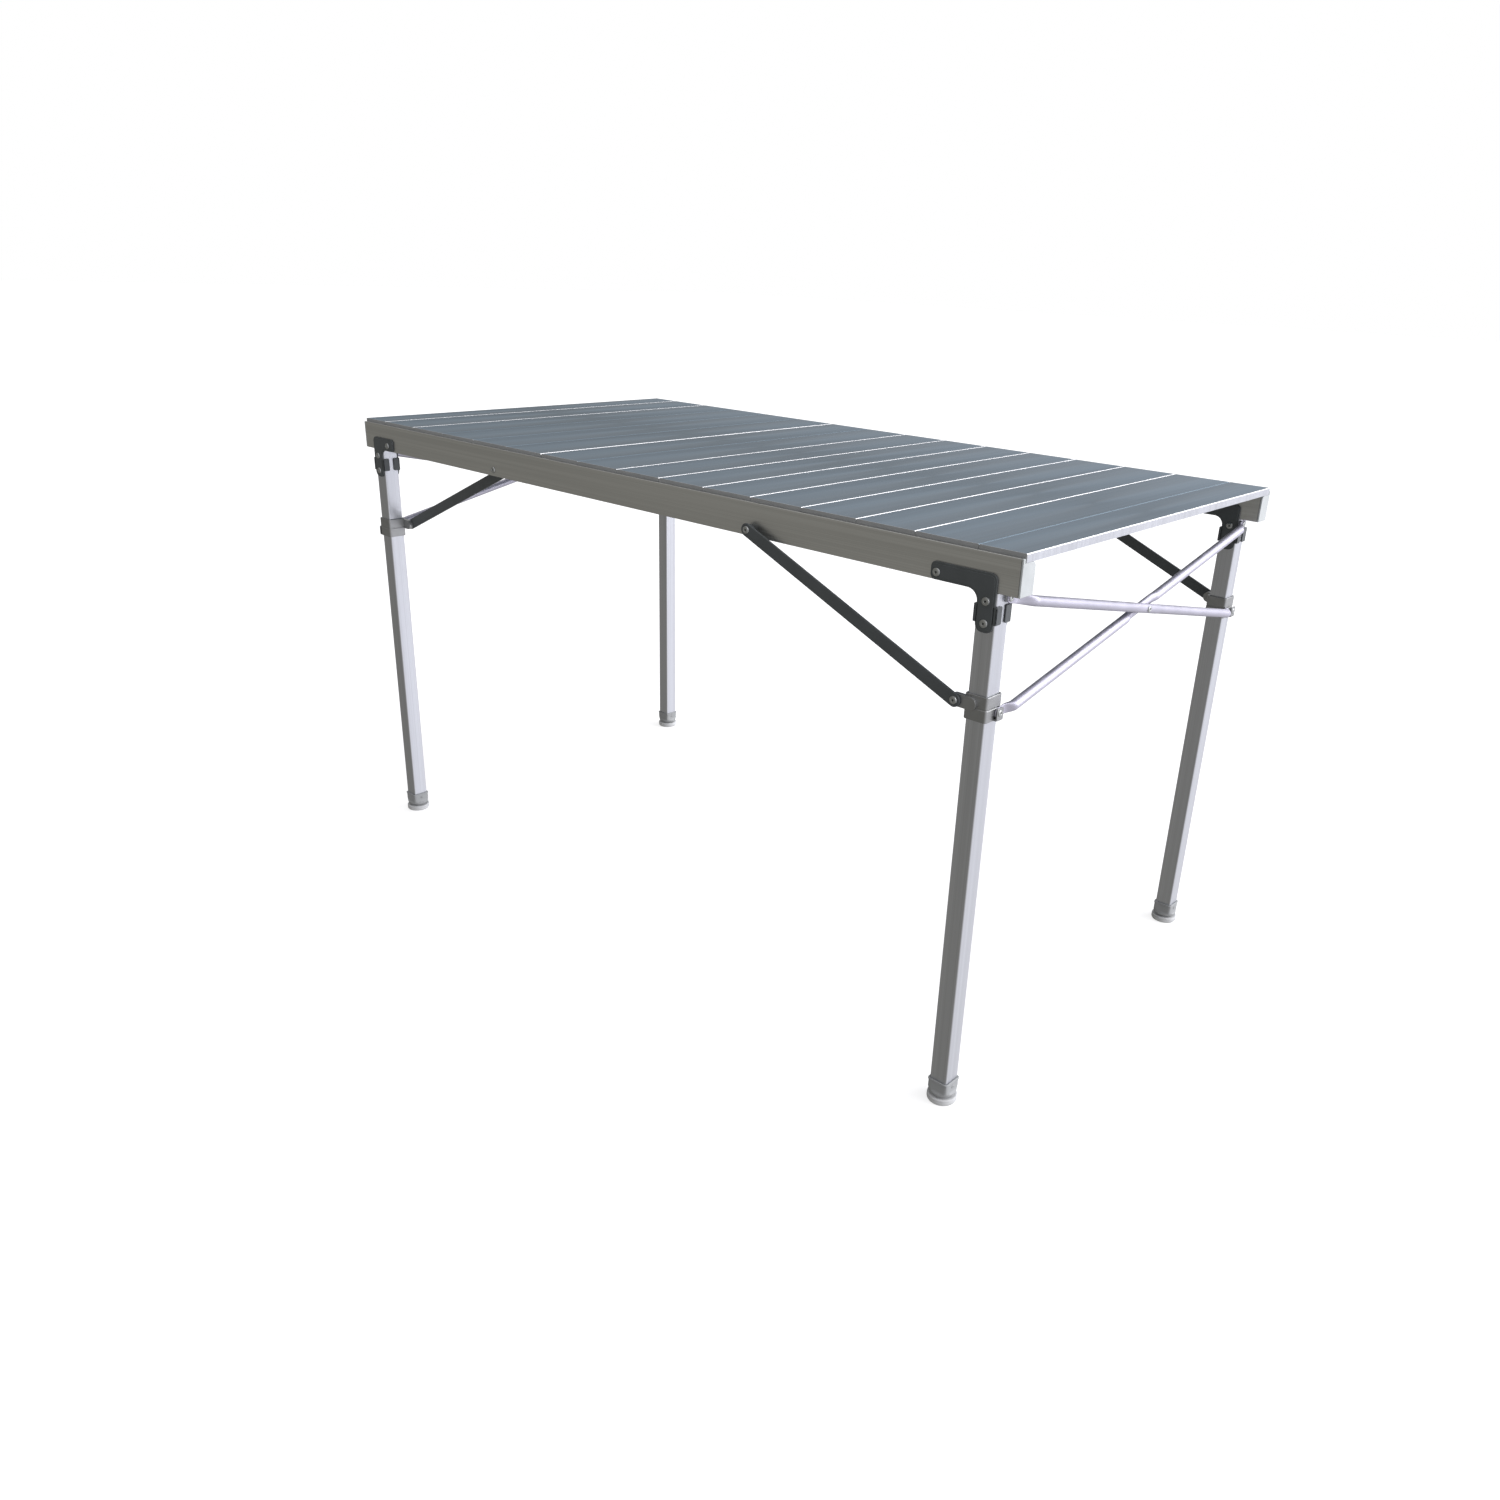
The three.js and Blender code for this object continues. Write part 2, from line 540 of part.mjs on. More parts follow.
// The rivet that the leg and its brackets turn on, right through the rail and both plates.
function addCrankRivet(sideName, endName) {
  const { sign, crankInset } = ENDS[endName];
  const x = sign * (HALF_LENGTH - crankInset);
  const y = SIDES[sideName] * LEG_Y;
  const grip = RAIL_WIDTH / 2 + BRACKET_PLATE + 2 * GAP;
  const shank = bar("y", RIVET_DIAMETER, x, PIVOT_Z, y - grip - GAP, y + grip + GAP);
  const heads = [-1, 1].map((way) =>
    bar("y", RIVET_HEAD_DIAMETER, x, PIVOT_Z, y + way * grip, y + way * (grip + RIVET_HEAD_HEIGHT)),
  );
  addPiece("crank_rivet_" + sideName + "_" + endName, join(shank, ...heads), "rivet");
}

// --- Collars and braces --------------------------------------------------------------------------

// A collar that slides on the leg. A lug towards the table's middle carries the brace, and the face that
// looks out of the table's end carries a crossed tube's lower pivot. The ear on that face has its own rivet,
// and where the tube ends under the ear, the same rivet holds both.
function addCollar(sideName, endName) {
  const { x, y } = legPlace(sideName, endName);
  const { sign, braceFace } = ENDS[endName];
  const side = SIDES[sideName];
  const bottom = COLLAR_TOP_Z - COLLAR_HEIGHT;
  const outline = roundedSquare(x, y, LEG_SIZE + 2 * COLLAR_FACE, COLLAR_CORNER);
  const bore = HALF_LEG + GAP;
  outline.holes.push(rectanglePath(x - bore, x + bore, y - bore, y + bore));
  const sleeve = upright(outline, bottom, COLLAR_TOP_Z);

  const lugNear = y + side * braceFace * (HALF_LEG + GAP);
  const lugFar = lugNear + side * braceFace * LUG_PLATE;
  const lugX = x - sign * LUG_REACH;
  const lugHeights = [LUG_PIVOT_Z - LUG_RADIUS, LUG_PIVOT_Z + LUG_RADIUS];
  const lugArm = block(x - sign * HALF_LEG, lugX, lugNear, lugFar, ...lugHeights);
  const lugEnd = bar("y", 2 * LUG_RADIUS, lugX, LUG_PIVOT_Z, lugNear, lugFar);

  const faceX = x + sign * HALF_LEG;
  const out = (distance) => faceX + sign * distance;
  const tubeY = side * TUBE_PIVOT_Y;
  const earY = y + sign * Math.abs(tubeY - y);
  const ear0 = y + sign * EAR_START;
  const ear1 = y + sign * (EAR_START + EAR_WIDTH);
  const earEnd = EAR_START_X + EAR_PLATE;
  const earPlate = block(out(EAR_START_X), out(earEnd), ear0, ear1, bottom, TUBE_LOW_Z + EAR_ABOVE_PIVOT);
  const earWeb = block(out(COLLAR_FACE / 2 + GAP), out(earEnd), ear0, ear1, bottom, bottom + EAR_WEB);
  const pinStart = COLLAR_FACE - COLLAR_WALL / 2;
  const pins = pinAlongX(sign, faceX, earY, TUBE_LOW_Z, pinStart, earEnd);
  if (Math.abs(earY - tubeY) > GAP) {
    pins.push(...pinAlongX(sign, faceX, tubeY, TUBE_LOW_Z, pinStart, EAR_START_X));
  }
  const pieces = [lugArm, lugEnd, earPlate, earWeb, ...pins];
  addPiece("collar_" + sideName + "_" + endName, join(sleeve, ...pieces), "collar");
}

// A flat bar from its rivet through the rail to the collar's lug. The lower rivet shows only its outer head.
function addBrace(sideName, endName) {
  const { sign, braceInset, braceFace } = ENDS[endName];
  const outward = SIDES[sideName] * braceFace;
  const face = SIDES[sideName] * LEG_Y + outward * (RAIL_WIDTH / 2);
  const at = (distance) => face + outward * distance;
  const top = new THREE.Vector2(sign * (HALF_LENGTH - braceInset), PIVOT_Z);
  const low = new THREE.Vector2(sign * (HALF_LENGTH - LEG_INSET - LUG_REACH), LUG_PIVOT_Z);
  const along = low.clone().sub(top);
  const angle = along.angle();
  const half = BRACE_WIDTH / 2;
  const outline = new THREE.Shape();
  outline.absarc(top.x, top.y, half, angle + Math.PI / 2, angle + (3 * Math.PI) / 2, false);
  outline.absarc(low.x, low.y, half, angle - Math.PI / 2, angle + Math.PI / 2, false);
  outline.closePath();
  const near = at(BRACE_STANDOFF);
  const far = at(BRACE_STANDOFF + BRACE_THICKNESS);
  const flat = plate(outline, Math.min(near, far), Math.max(near, far));
  const head = far + outward * RIVET_HEAD_HEIGHT;
  const backFace = -RAIL_WIDTH - GAP;
  addPiece(
    "brace_" + sideName + "_" + endName,
    join(
      flat,
      bar("y", RIVET_HEAD_DIAMETER, top.x, top.y, far - outward * BRACE_THICKNESS / 2, head),
      bar("y", RIVET_HEAD_DIAMETER, low.x, low.y, far - outward * BRACE_THICKNESS / 2, head),
      bar("y", SPACER_DIAMETER, top.x, top.y, at(GAP), at(BRACE_STANDOFF + BRACE_THICKNESS / 2)),
      bar("y", RIVET_DIAMETER, top.x, top.y, at(backFace - RIVET_HEAD_HEIGHT / 2), at(BRACE_STANDOFF)),
      bar("y", RIVET_HEAD_DIAMETER, top.x, top.y, at(backFace - RIVET_HEAD_HEIGHT), at(backFace)),
    ),
    "blackSteel",
  );
}

// --- Crossed end tubes ---------------------------------------------------------------------------

const smooth = (t) => THREE.MathUtils.smoothstep(t, 0, 1);

// The tube's section at a distance from its nearer pivot: half width, thickness range across X, squareness.
// `shift` is the flat end's middle from the tube's middle. `dentSide` is the side pressed in at the crossing.
function tubeSection(fromPivot, fromMiddle, shift, taper, dentSide) {
  const radius = TUBE_DIAMETER / 2;
  const rounding = smooth((fromPivot - TUBE_END_FLAT) / taper);
  const halfFlat = TUBE_END_THICKNESS / 2;
  const middle = THREE.MathUtils.lerp(shift, 0, rounding);
  const half = THREE.MathUtils.lerp(halfFlat, radius, rounding);
  const dent = (radius - (TUBE_SPACING - GAP) / 2) * (1 - smooth((fromMiddle - DENT_REACH) / DENT_TAPER));
  const width = fromPivot < 0 ? Math.sqrt(Math.max(radius ** 2 - fromPivot ** 2, 0)) : radius;
  return {
    width,
    low: middle - half + (dentSide < 0 ? dent : 0),
    high: middle + half - (dentSide > 0 ? dent : 0),
    square: THREE.MathUtils.lerp(FLAT_SQUARENESS, 1, rounding),
  };
}

// Distances along the tube from its upper pivot at which a section is drawn.
function tubeStations(taper) {
  const radius = TUBE_DIAMETER / 2;
  const shares = (steps) => Array.from({ length: steps + 1 }, (_, step) => step / steps);
  const roundEnd = shares(ROUND_END_STEPS).slice(1).map((share) => -radius * Math.cos((share * Math.PI) / 2));
  const taperSteps = shares(TAPER_STEPS).map((share) => TUBE_END_FLAT + share * taper);
  const dentEnd = TUBE_LENGTH / 2 - DENT_REACH;
  const dentSteps = shares(DENT_STEPS).map((share) => dentEnd - (1 - share) * DENT_TAPER);
  const half = [...roundEnd, ...taperSteps, ...dentSteps];
  return [...half, ...half.map((s) => TUBE_LENGTH - s).reverse()];
}

// A tube from (y0, high) to (y1, low), flattened at both ends and pressed in where it crosses its partner.
function crossTube(centreX, sign, y0, y1, shift, taper, dentSide) {
  const steps = CIRCLE_STEPS;
  const along = new THREE.Vector2(y1 - y0, TUBE_LOW_Z - TUBE_HIGH_Z).normalize();
  const across = new THREE.Vector2(-along.y, along.x);
  const stations = tubeStations(taper);
  const positions = [];
  for (const s of stations) {
    const fromPivot = Math.min(s, TUBE_LENGTH - s);
    const section = tubeSection(fromPivot, Math.abs(s - TUBE_LENGTH / 2), shift, taper, dentSide);
    const middle = (section.low + section.high) / 2;
    const half = (section.high - section.low) / 2;
    for (let i = 0; i < steps; i++) {
      const turn = (2 * Math.PI * i) / steps;
      const c = Math.cos(turn);
      const q = Math.sin(turn);
      const w = section.width * Math.sign(c) * Math.abs(c) ** section.square;
      const t = middle + half * Math.sign(q) * Math.abs(q) ** section.square;
      const y = y0 + along.x * s + across.x * w;
      const z = TUBE_HIGH_Z + along.y * s + across.y * w;
      positions.push(centreX + sign * t, y, z);
    }
  }
  const index = [];
  const rings = stations.length;
  for (let r = 0; r + 1 < rings; r++) {
    for (let i = 0; i < steps; i++) {
      const a = r * steps + i;
      const b = r * steps + ((i + 1) % steps);
      index.push(a, b, b + steps, a, b + steps, a + steps);
    }
  }
  const last = (rings - 1) * steps;
  for (let i = 1; i + 1 < steps; i++) {
    index.push(0, i + 1, i, last, last + i, last + i + 1);
  }
  if (sign < 0) index.reverse(); // the other end of the table mirrors the section, so the faces turn round
  const geometry = new THREE.BufferGeometry();
  geometry.setAttribute("position", new THREE.Float32BufferAttribute(positions, 3));
  geometry.setIndex(index);
  return solidOf(geometry);
}

// The two crossed tubes of one end and the rivet where they cross. The inner one ends at the collar whose ear
// covers it, so it runs down to the front collar at the right end and to the rear collar at the left end.
function addCrossTubes(endName) {
  const { sign } = ENDS[endName];
  const faceX = sign * (HALF_LENGTH - LEG_INSET + HALF_LEG);
  const tabMiddle = (TAB_START + TAB_END) / 2;
  const crossZ = (TUBE_HIGH_Z + TUBE_LOW_Z) / 2;
  const innerY = sign * TUBE_PIVOT_Y;
  const outerX = INNER_TUBE_X + TUBE_SPACING;
  const tubes = [
    { name: "inner", out: INNER_TUBE_X, highY: innerY, taper: INNER_TUBE_TAPER, dentSide: 1 },
    { name: "outer", out: outerX, highY: -innerY, taper: OUTER_TUBE_TAPER, dentSide: -1 },
  ];
  const holeSize = SMALL_RIVET_DIAMETER + 2 * GAP;
  for (const { name, out, highY, taper, dentSide } of tubes) {
    const centreX = faceX + sign * out;
    const tube = crossTube(centreX, sign, highY, -highY, tabMiddle - out, taper, dentSide);
    const ends = [
      [highY, TUBE_HIGH_Z],
      [-highY, TUBE_LOW_Z],
      [0, crossZ],
    ];
    const through = [centreX - 2 * TUBE_DIAMETER, centreX + 2 * TUBE_DIAMETER];
    const holes = ends.map(([y, z]) => bar("x", holeSize, y, z, ...through));
    addPiece("cross_tube_" + endName + "_" + name, cut(tube, ...holes), "tube");
  }
  const near = faceX + sign * (INNER_TUBE_X - TUBE_DIAMETER / 2 - GAP);
  const far = faceX + sign * (outerX + TUBE_DIAMETER / 2 + GAP);
  const head = sign * SMALL_RIVET_HEAD_HEIGHT;
  addPiece(
    "cross_rivet_" + endName,
    join(
      bar("x", SMALL_RIVET_DIAMETER, 0, crossZ, near - head / 2, far + head / 2),
      bar("x", SMALL_RIVET_HEAD_DIAMETER, 0, crossZ, near - head, near),
      bar("x", SMALL_RIVET_HEAD_DIAMETER, 0, crossZ, far, far + head),
    ),
    "rivet",
  );
}

// --- The table -----------------------------------------------------------------------------------

addSlatTop();
for (const sideName of Object.keys(SIDES)) {
  addRail(sideName);
  for (const endName of Object.keys(ENDS)) {
    addRailCap(sideName, endName);
    addLeg(sideName, endName);
    addFootSleeve(sideName, endName);
    addFootPad(sideName, endName);
    addBracket(sideName, endName, "outer", 1);
    addBracket(sideName, endName, "inner", -1);
    addCrankRivet(sideName, endName);
    addCollar(sideName, endName);
    addBrace(sideName, endName);
  }
}
Object.keys(ENDS).forEach(addCrossTubes);

export default table;
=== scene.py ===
"""A roll-top camping table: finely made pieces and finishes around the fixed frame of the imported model."""

import json
import math

import bmesh
import bpy
from mathutils import Matrix, Vector
from mathutils.geometry import tessellate_polygon


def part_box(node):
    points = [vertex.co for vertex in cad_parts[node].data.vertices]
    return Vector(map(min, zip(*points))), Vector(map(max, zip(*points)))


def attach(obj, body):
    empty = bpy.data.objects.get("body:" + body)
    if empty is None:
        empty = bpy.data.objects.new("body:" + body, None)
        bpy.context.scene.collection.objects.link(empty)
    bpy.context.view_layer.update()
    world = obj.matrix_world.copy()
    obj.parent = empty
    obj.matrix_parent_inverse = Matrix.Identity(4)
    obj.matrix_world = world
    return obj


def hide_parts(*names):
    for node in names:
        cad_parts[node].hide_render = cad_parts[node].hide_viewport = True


bl_info = {
    "name": "Roll-top camping table",
    "version": (1, 0, 0),
    "blender": (4, 5, 0),
    "location": "View3D > Sidebar > Camping table",
    "description": "Builds a folding camping table with a roll-up slat top, and the studio it stands in",
    "category": "Add Mesh",
}

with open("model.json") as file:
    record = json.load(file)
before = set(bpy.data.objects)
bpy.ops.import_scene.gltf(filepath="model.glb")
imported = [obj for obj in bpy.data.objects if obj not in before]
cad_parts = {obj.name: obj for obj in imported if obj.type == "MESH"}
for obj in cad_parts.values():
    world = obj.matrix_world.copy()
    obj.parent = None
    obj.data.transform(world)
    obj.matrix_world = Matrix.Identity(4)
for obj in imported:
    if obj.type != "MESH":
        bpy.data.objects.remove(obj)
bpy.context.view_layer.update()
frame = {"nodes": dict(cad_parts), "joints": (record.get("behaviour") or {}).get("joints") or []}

MM = 0.001
AXIS = {"x": Vector((1, 0, 0)), "y": Vector((0, 1, 0)), "z": Vector((0, 0, 1))}
SIDES = {"front": -1, "rear": 1}
ENDS = {"left": -1, "right": 1}
BRACE_FACE = {"left": -1, "right": 1}  # +1 where the braces lie on the rails' outer faces
PIVOTS = {joint["name"]: Vector(joint["pos_m"]) for joint in frame["joints"] if "pos_m" in joint}
LARGE_SHANK = 6 * MM
LEG_SHANK = 5 * MM
PIN_SHANK = 4.6 * MM
CORNER_STEPS = 6
EDGE_STEPS = 3
TURN_STEPS = 36
SHARP_ANGLE = math.radians(32)


def linear(hex_colour):
    """An sRGB hex colour as linear red, green, blue and alpha."""
    channels = [int(hex_colour[i : i + 2], 16) / 255 for i in (1, 3, 5)]
    return [c / 12.92 if c <= 0.04045 else ((c + 0.055) / 1.055) ** 2.4 for c in channels] + [1.0]


# --- Settings -----------------------------------------------------------------------------------------


def length(name, description, value):
    """A length that the user can change, in metres."""
    return bpy.props.FloatProperty(
        name=name, description=description, default=value, unit="LENGTH", precision=4
    )


def colour(name, description, hex_colour):
    """A colour that the user can change."""
    return bpy.props.FloatVectorProperty(
        name=name, description=description, default=linear(hex_colour), size=4, subtype="COLOR", min=0, max=1
    )


class CampingTableSizes(bpy.types.PropertyGroup):
    """Sizes of the details that the frame leaves open."""

    slat_wall: length("Slat wall", "Wall of a hollow slat", 1.1 * MM)
    # the chamfer's faces carry a painted highlight in white metal
    slat_chamfer: length("Slat chamfer", "Chamfer along a slat's top edges, carrying the painted highlight", 0.9 * MM)
    rail_wall: length("Rail wall", "Wall of the hollow rail", 1.6 * MM)
    lip_width: length("Lip width", "Width of the rail's outer lip", 3.5 * MM)
    rail_edge: length("Rail edge", "Radius on the rail's corners", 0.7 * MM)
    cap_flange: length("Cap flange", "Thickness of the end cap outside the rail", 2.5 * MM)
    leg_corner: length("Leg corner", "Corner radius of the square leg", 2.2 * MM)
    leg_wall: length("Leg wall", "Wall of the square leg", 1.5 * MM)
    plate_edge: length("Plate edge", "Rounding of a stamped plate's edges", 0.6 * MM)
    brace_width: length("Brace width", "Width of a brace", 16 * MM)
    brace_thickness: length("Brace thickness", "Thickness of a brace", 3 * MM)
    brace_standoff: length("Brace standoff", "Gap between a brace and the rail's face", 6.7 * MM)
    rivet_head: length("Rivet head", "Diameter of a large rivet's head", 9.5 * MM)
    rivet_height: length("Rivet height", "Height of a large rivet's head", 1.6 * MM)
    pin_head: length("Pin head", "Diameter of a tube pin's head", 8.4 * MM)
    pin_height: length("Pin height", "Height of a tube pin's head", 1.2 * MM)
    tube_diameter: length("Tube diameter", "Diameter of the crossed tubes", 12 * MM)


class CampingTableColours(bpy.types.PropertyGroup):
    """Colours of the finishes."""

    slat: colour("Slats", "Blue-grey anodising", "#71808B")
    # painted highlight: white metal on the slats' chamfers, in place of the light they catch
    edge: colour("Slat edges", "Painted highlight on the slats' chamfers", "#FFFFFF")
    rail: colour("Rails", "Natural anodising on the rails", "#D2D2CF")
    leg: colour("Legs", "Natural anodising on the legs", "#D3D5DA")
    tube: colour("Tubes", "Bright drawn tube", "#BDBBC8")
    collar: colour("Collars", "Grey anodising on the collars", "#A3A4A4")
    steel: colour("Brackets and braces", "Black powder coat", "#4A4E50")
    rivet: colour("Rivets", "Zinc plate", "#B9BBBA")
    cap: colour("Rail caps", "Light grey moulding", "#BEC2C3")
    sleeve: colour("Foot sleeves", "Grey moulding", "#999B9C")
    pad: colour("Foot pads", "Pale grey moulding", "#C8C9CA")
    floor: colour("Floor", "Studio floor", "#B4B4B4")


def sizes():
    return bpy.context.scene.camping_table_sizes


def colours():
    return bpy.context.scene.camping_table_colours


# --- Shapes -------------------------------------------------------------------------------------------
# A shape is (points, faces, place), where place is that of its finish among its piece's finishes.


def rounded(corners):
    """An outline whose corners are arcs: each corner is (u, v, radius)."""
    outline = []
    for i, (u, v, radius) in enumerate(corners):
        here = Vector((u, v))
        if radius <= 0:
            outline.append(here)
            continue
        before = (Vector(corners[i - 1][:2]) - here).normalized()
        after = (Vector(corners[(i + 1) % len(corners)][:2]) - here).normalized()
        half = before.angle(after) / 2
        middle = here + (before + after).normalized() * radius / math.sin(half)
        first = here + before * radius / math.tan(half) - middle
        last = here + after * radius / math.tan(half) - middle
        start = math.atan2(first.y, first.x)
        turn = (math.atan2(last.y, last.x) - start + math.pi) % math.tau - math.pi
        for step in range(CORNER_STEPS + 1):
            angle = start + turn * step / CORNER_STEPS
            outline.append(middle + radius * Vector((math.cos(angle), math.sin(angle))))
    return outline


def rectangle(u0, u1, v0, v1, radius=0.0):
    return rounded([(u0, v0, radius), (u1, v0, radius), (u1, v1, radius), (u0, v1, radius)])


def stadium(start, end, radius):
    """The outline of a bar with round ends."""
    along = (end - start).normalized()
    across = Vector((-along.y, along.x))
    outline = []
    for centre, way in ((start, 1), (end, -1)):
        for step in range(TURN_STEPS // 2 + 1):
            angle = math.tau * step / TURN_STEPS
            outline.append(centre + radius * way * (across * math.cos(angle) - along * math.sin(angle)))
    return outline


def wound(outline, way):
    """The outline anticlockwise when way is 1 and clockwise when it is -1."""
    area = sum(a.x * b.y - b.x * a.y for a, b in zip(outline, outline[1:] + outline[:1]))
    return list(outline) if area * way > 0 else list(reversed(outline))


def inward(outline):
    """For each point, the move that sets both of its sides in by one unit, with the material on the left."""
    moves = []
    for i, point in enumerate(outline):
        before = (point - outline[i - 1]).normalized()
        after = (outline[(i + 1) % len(outline)] - point).normalized()
        moves.append(Vector((-before.y - after.y, before.x + after.x)) / (1 + before.dot(after)))
    return moves


def edge_levels(low, high, edge):
    """(height, inset) pairs that round both edges of an extrusion."""
    if edge <= 0:
        return [(low, 0.0), (high, 0.0)]
    angles = [math.pi / 2 * step / EDGE_STEPS for step in range(EDGE_STEPS + 1)]
    lower = [(low + edge * (1 - math.cos(a)), edge * (1 - math.sin(a))) for a in angles]
    return lower + [(low + high - height, inset) for height, inset in reversed(lower)]


def extrusion(outline, levels, axes, holes=(), place=0):
    """An outline with holes on the first two axes, carried along the third through (height, inset) levels."""
    u, v, w = (AXIS[letter] for letter in axes)
    loops = [wound(outline, 1)] + [wound(hole, -1) for hole in holes]
    points, faces, caps = [], [], [[], []]
    for loop in loops:
        moves = inward(loop)
        count = len(loop)
        start = len(points)
        for height, inset in levels:
            points += [
                u * (p.x + m.x * inset) + v * (p.y + m.y * inset) + w * height
                for p, m in zip(loop, moves)
            ]
        for ring in range(len(levels) - 1):
            for i in range(count):
                a = start + ring * count + i
                b = start + ring * count + (i + 1) % count
                faces.append((a, b, b + count, a + count))
        caps[0].append(range(start, start + count))
        caps[1].append(range(start + (len(levels) - 1) * count, start + len(levels) * count))
    for cap in caps:
        order = [i for ring in cap for i in ring]
        flat = [[Vector((points[i].dot(u), points[i].dot(v), 0)) for i in ring] for ring in cap]
        faces += [tuple(order[i] for i in triangle) for triangle in tessellate_polygon(flat)]
    return points, faces, place


def plate(outline, low, high, axes, edge=0.0, holes=(), place=0):
    levels = edge_levels(min(low, high), max(low, high), edge)
    return extrusion(outline, levels, axes, holes, place)


def skinned(rings, place=0, closed=False):
    """A skin over rings of points. A ring of one point is a pole, and closed joins the last to the first."""
    points, faces, starts = [], [], []
    for ring in rings:
        starts.append(len(points))
        points += ring
    pairs = list(zip(range(len(rings) - 1), range(1, len(rings)))) + ([(len(rings) - 1, 0)] if closed else [])
    for one, other in pairs:
        a, b = len(rings[one]), len(rings[other])
        for i in range(max(a, b)):
            corners = [starts[one] + i % a, starts[one] + (i + 1) % a]
            corners += [starts[other] + (i + 1) % b, starts[other] + i % b]
            faces.append(tuple(dict.fromkeys(corners)))
    return points, faces, place


def turned(profile, centre, axis, place=0, closed=False):
    """A round solid: each (radius, distance along the axis) is a ring, and a radius of 0 is a pole."""
    across = axis.orthogonal().normalized()
    other = axis.cross(across)
    angles = [math.tau * step / TURN_STEPS for step in range(TURN_STEPS)]
    rings = []
    for radius, out in profile:
        middle = centre + axis * out
        ring = [middle + (across * math.cos(a) + other * math.sin(a)) * radius for a in angles]
        rings.append(ring if radius > 0 else [middle])
    return skinned(rings, place, closed)


# A rivet's head and the stub in its dimple, as (share of the radius, share of the height) from the middle out.
RIVET_DIMPLE = 0.34  # the dimple's radius as a share of the head's
RIVET_FLOOR = 0.3  # the dimple's floor, as a share of the head's height
RIVET_DOME = ((0.425, 1.0), (0.72, 0.9), (0.93, 0.55), (1.0, 0.12), (0.985, 0.0))
RIVET_STUB = ((0.0, 0.5), (0.55, 0.45), (0.6, 0.2), (0.0, 0.2))  # its radii are shares of the dimple's


def rivet(face, outward, diameter, height, shank, reach, dark=1):
    """A domed rivet head with a dimple, a darker stub in it that stands for the mandrel and paints the
    dimple's shade, and a shank that goes back by reach.
    """
    radius = diameter / 2
    dimple = radius * RIVET_DIMPLE
    profile = [(0, height * RIVET_FLOOR), (dimple * 0.8, height * RIVET_FLOOR), (dimple, height * 0.85)]
    profile += [(radius * across, height * up) for across, up in RIVET_DOME]
    profile += [(shank / 2, 0), (shank / 2, -reach), (0, -reach)]
    # the stub is dark: the mandrel, and painted shade in the dimple
    stub = [(dimple * across, height * up) for across, up in RIVET_STUB]
    return [turned(profile, face, outward), turned(stub, face, outward, dark)]


def add_piece(name, body, shapes, finishes, stands_for=()):
    """Joins shapes into one piece, gives it its finishes and lets it ride on a body."""
    mesh = bpy.data.meshes.new(name)
    points, faces, places = [], [], []
    for shape_points, shape_faces, place in shapes:
        start = len(points)
        points += shape_points
        faces += [tuple(start + i for i in face) for face in shape_faces]
        places += [place] * len(shape_faces)
    mesh.from_pydata([tuple(p) for p in points], [], faces)
    mesh.polygons.foreach_set("material_index", places)
    made = bmesh.new()
    made.from_mesh(mesh)
    bmesh.ops.recalc_face_normals(made, faces=made.faces)
    for face in made.faces:
        face.smooth = True
    for edge in made.edges:
        edge.smooth = edge.calc_face_angle(math.pi) < SHARP_ANGLE
    made.to_mesh(mesh)
    made.free()
    for kind in finishes:
        mesh.materials.append(finish(kind))
    piece = bpy.data.objects.new(name, mesh)
    bpy.context.scene.collection.objects.link(piece)
    weighted = piece.modifiers.new("Weighted normals", "WEIGHTED_NORMAL")
    weighted.keep_sharp = True
    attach(piece, body)
    if stands_for:
        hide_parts(*stands_for)
    return piece


# --- Finishes -----------------------------------------------------------------------------------------


def add_node(tree, kind, inputs=None, **settings):
    """Adds a node, sets it, and gives each named socket a value or a link."""
    node = tree.nodes.new(kind)
    for name, value in settings.items():
        setattr(node, name, value)
    for socket, value in (inputs or {}).items():
        if isinstance(value, bpy.types.NodeSocket):
            tree.links.new(value, node.inputs[socket])
        else:
            node.inputs[socket].default_value = value
    return node


def new_finish(name):
    """A material with an empty node tree."""
    material = bpy.data.materials.new(name)
    material.use_nodes = True
    material.node_tree.nodes.clear()
    return material


def shade(base, amount):
    """A linear colour made lighter or darker."""
    return [min(1.0, channel * amount) for channel in base[:3]] + [1.0]


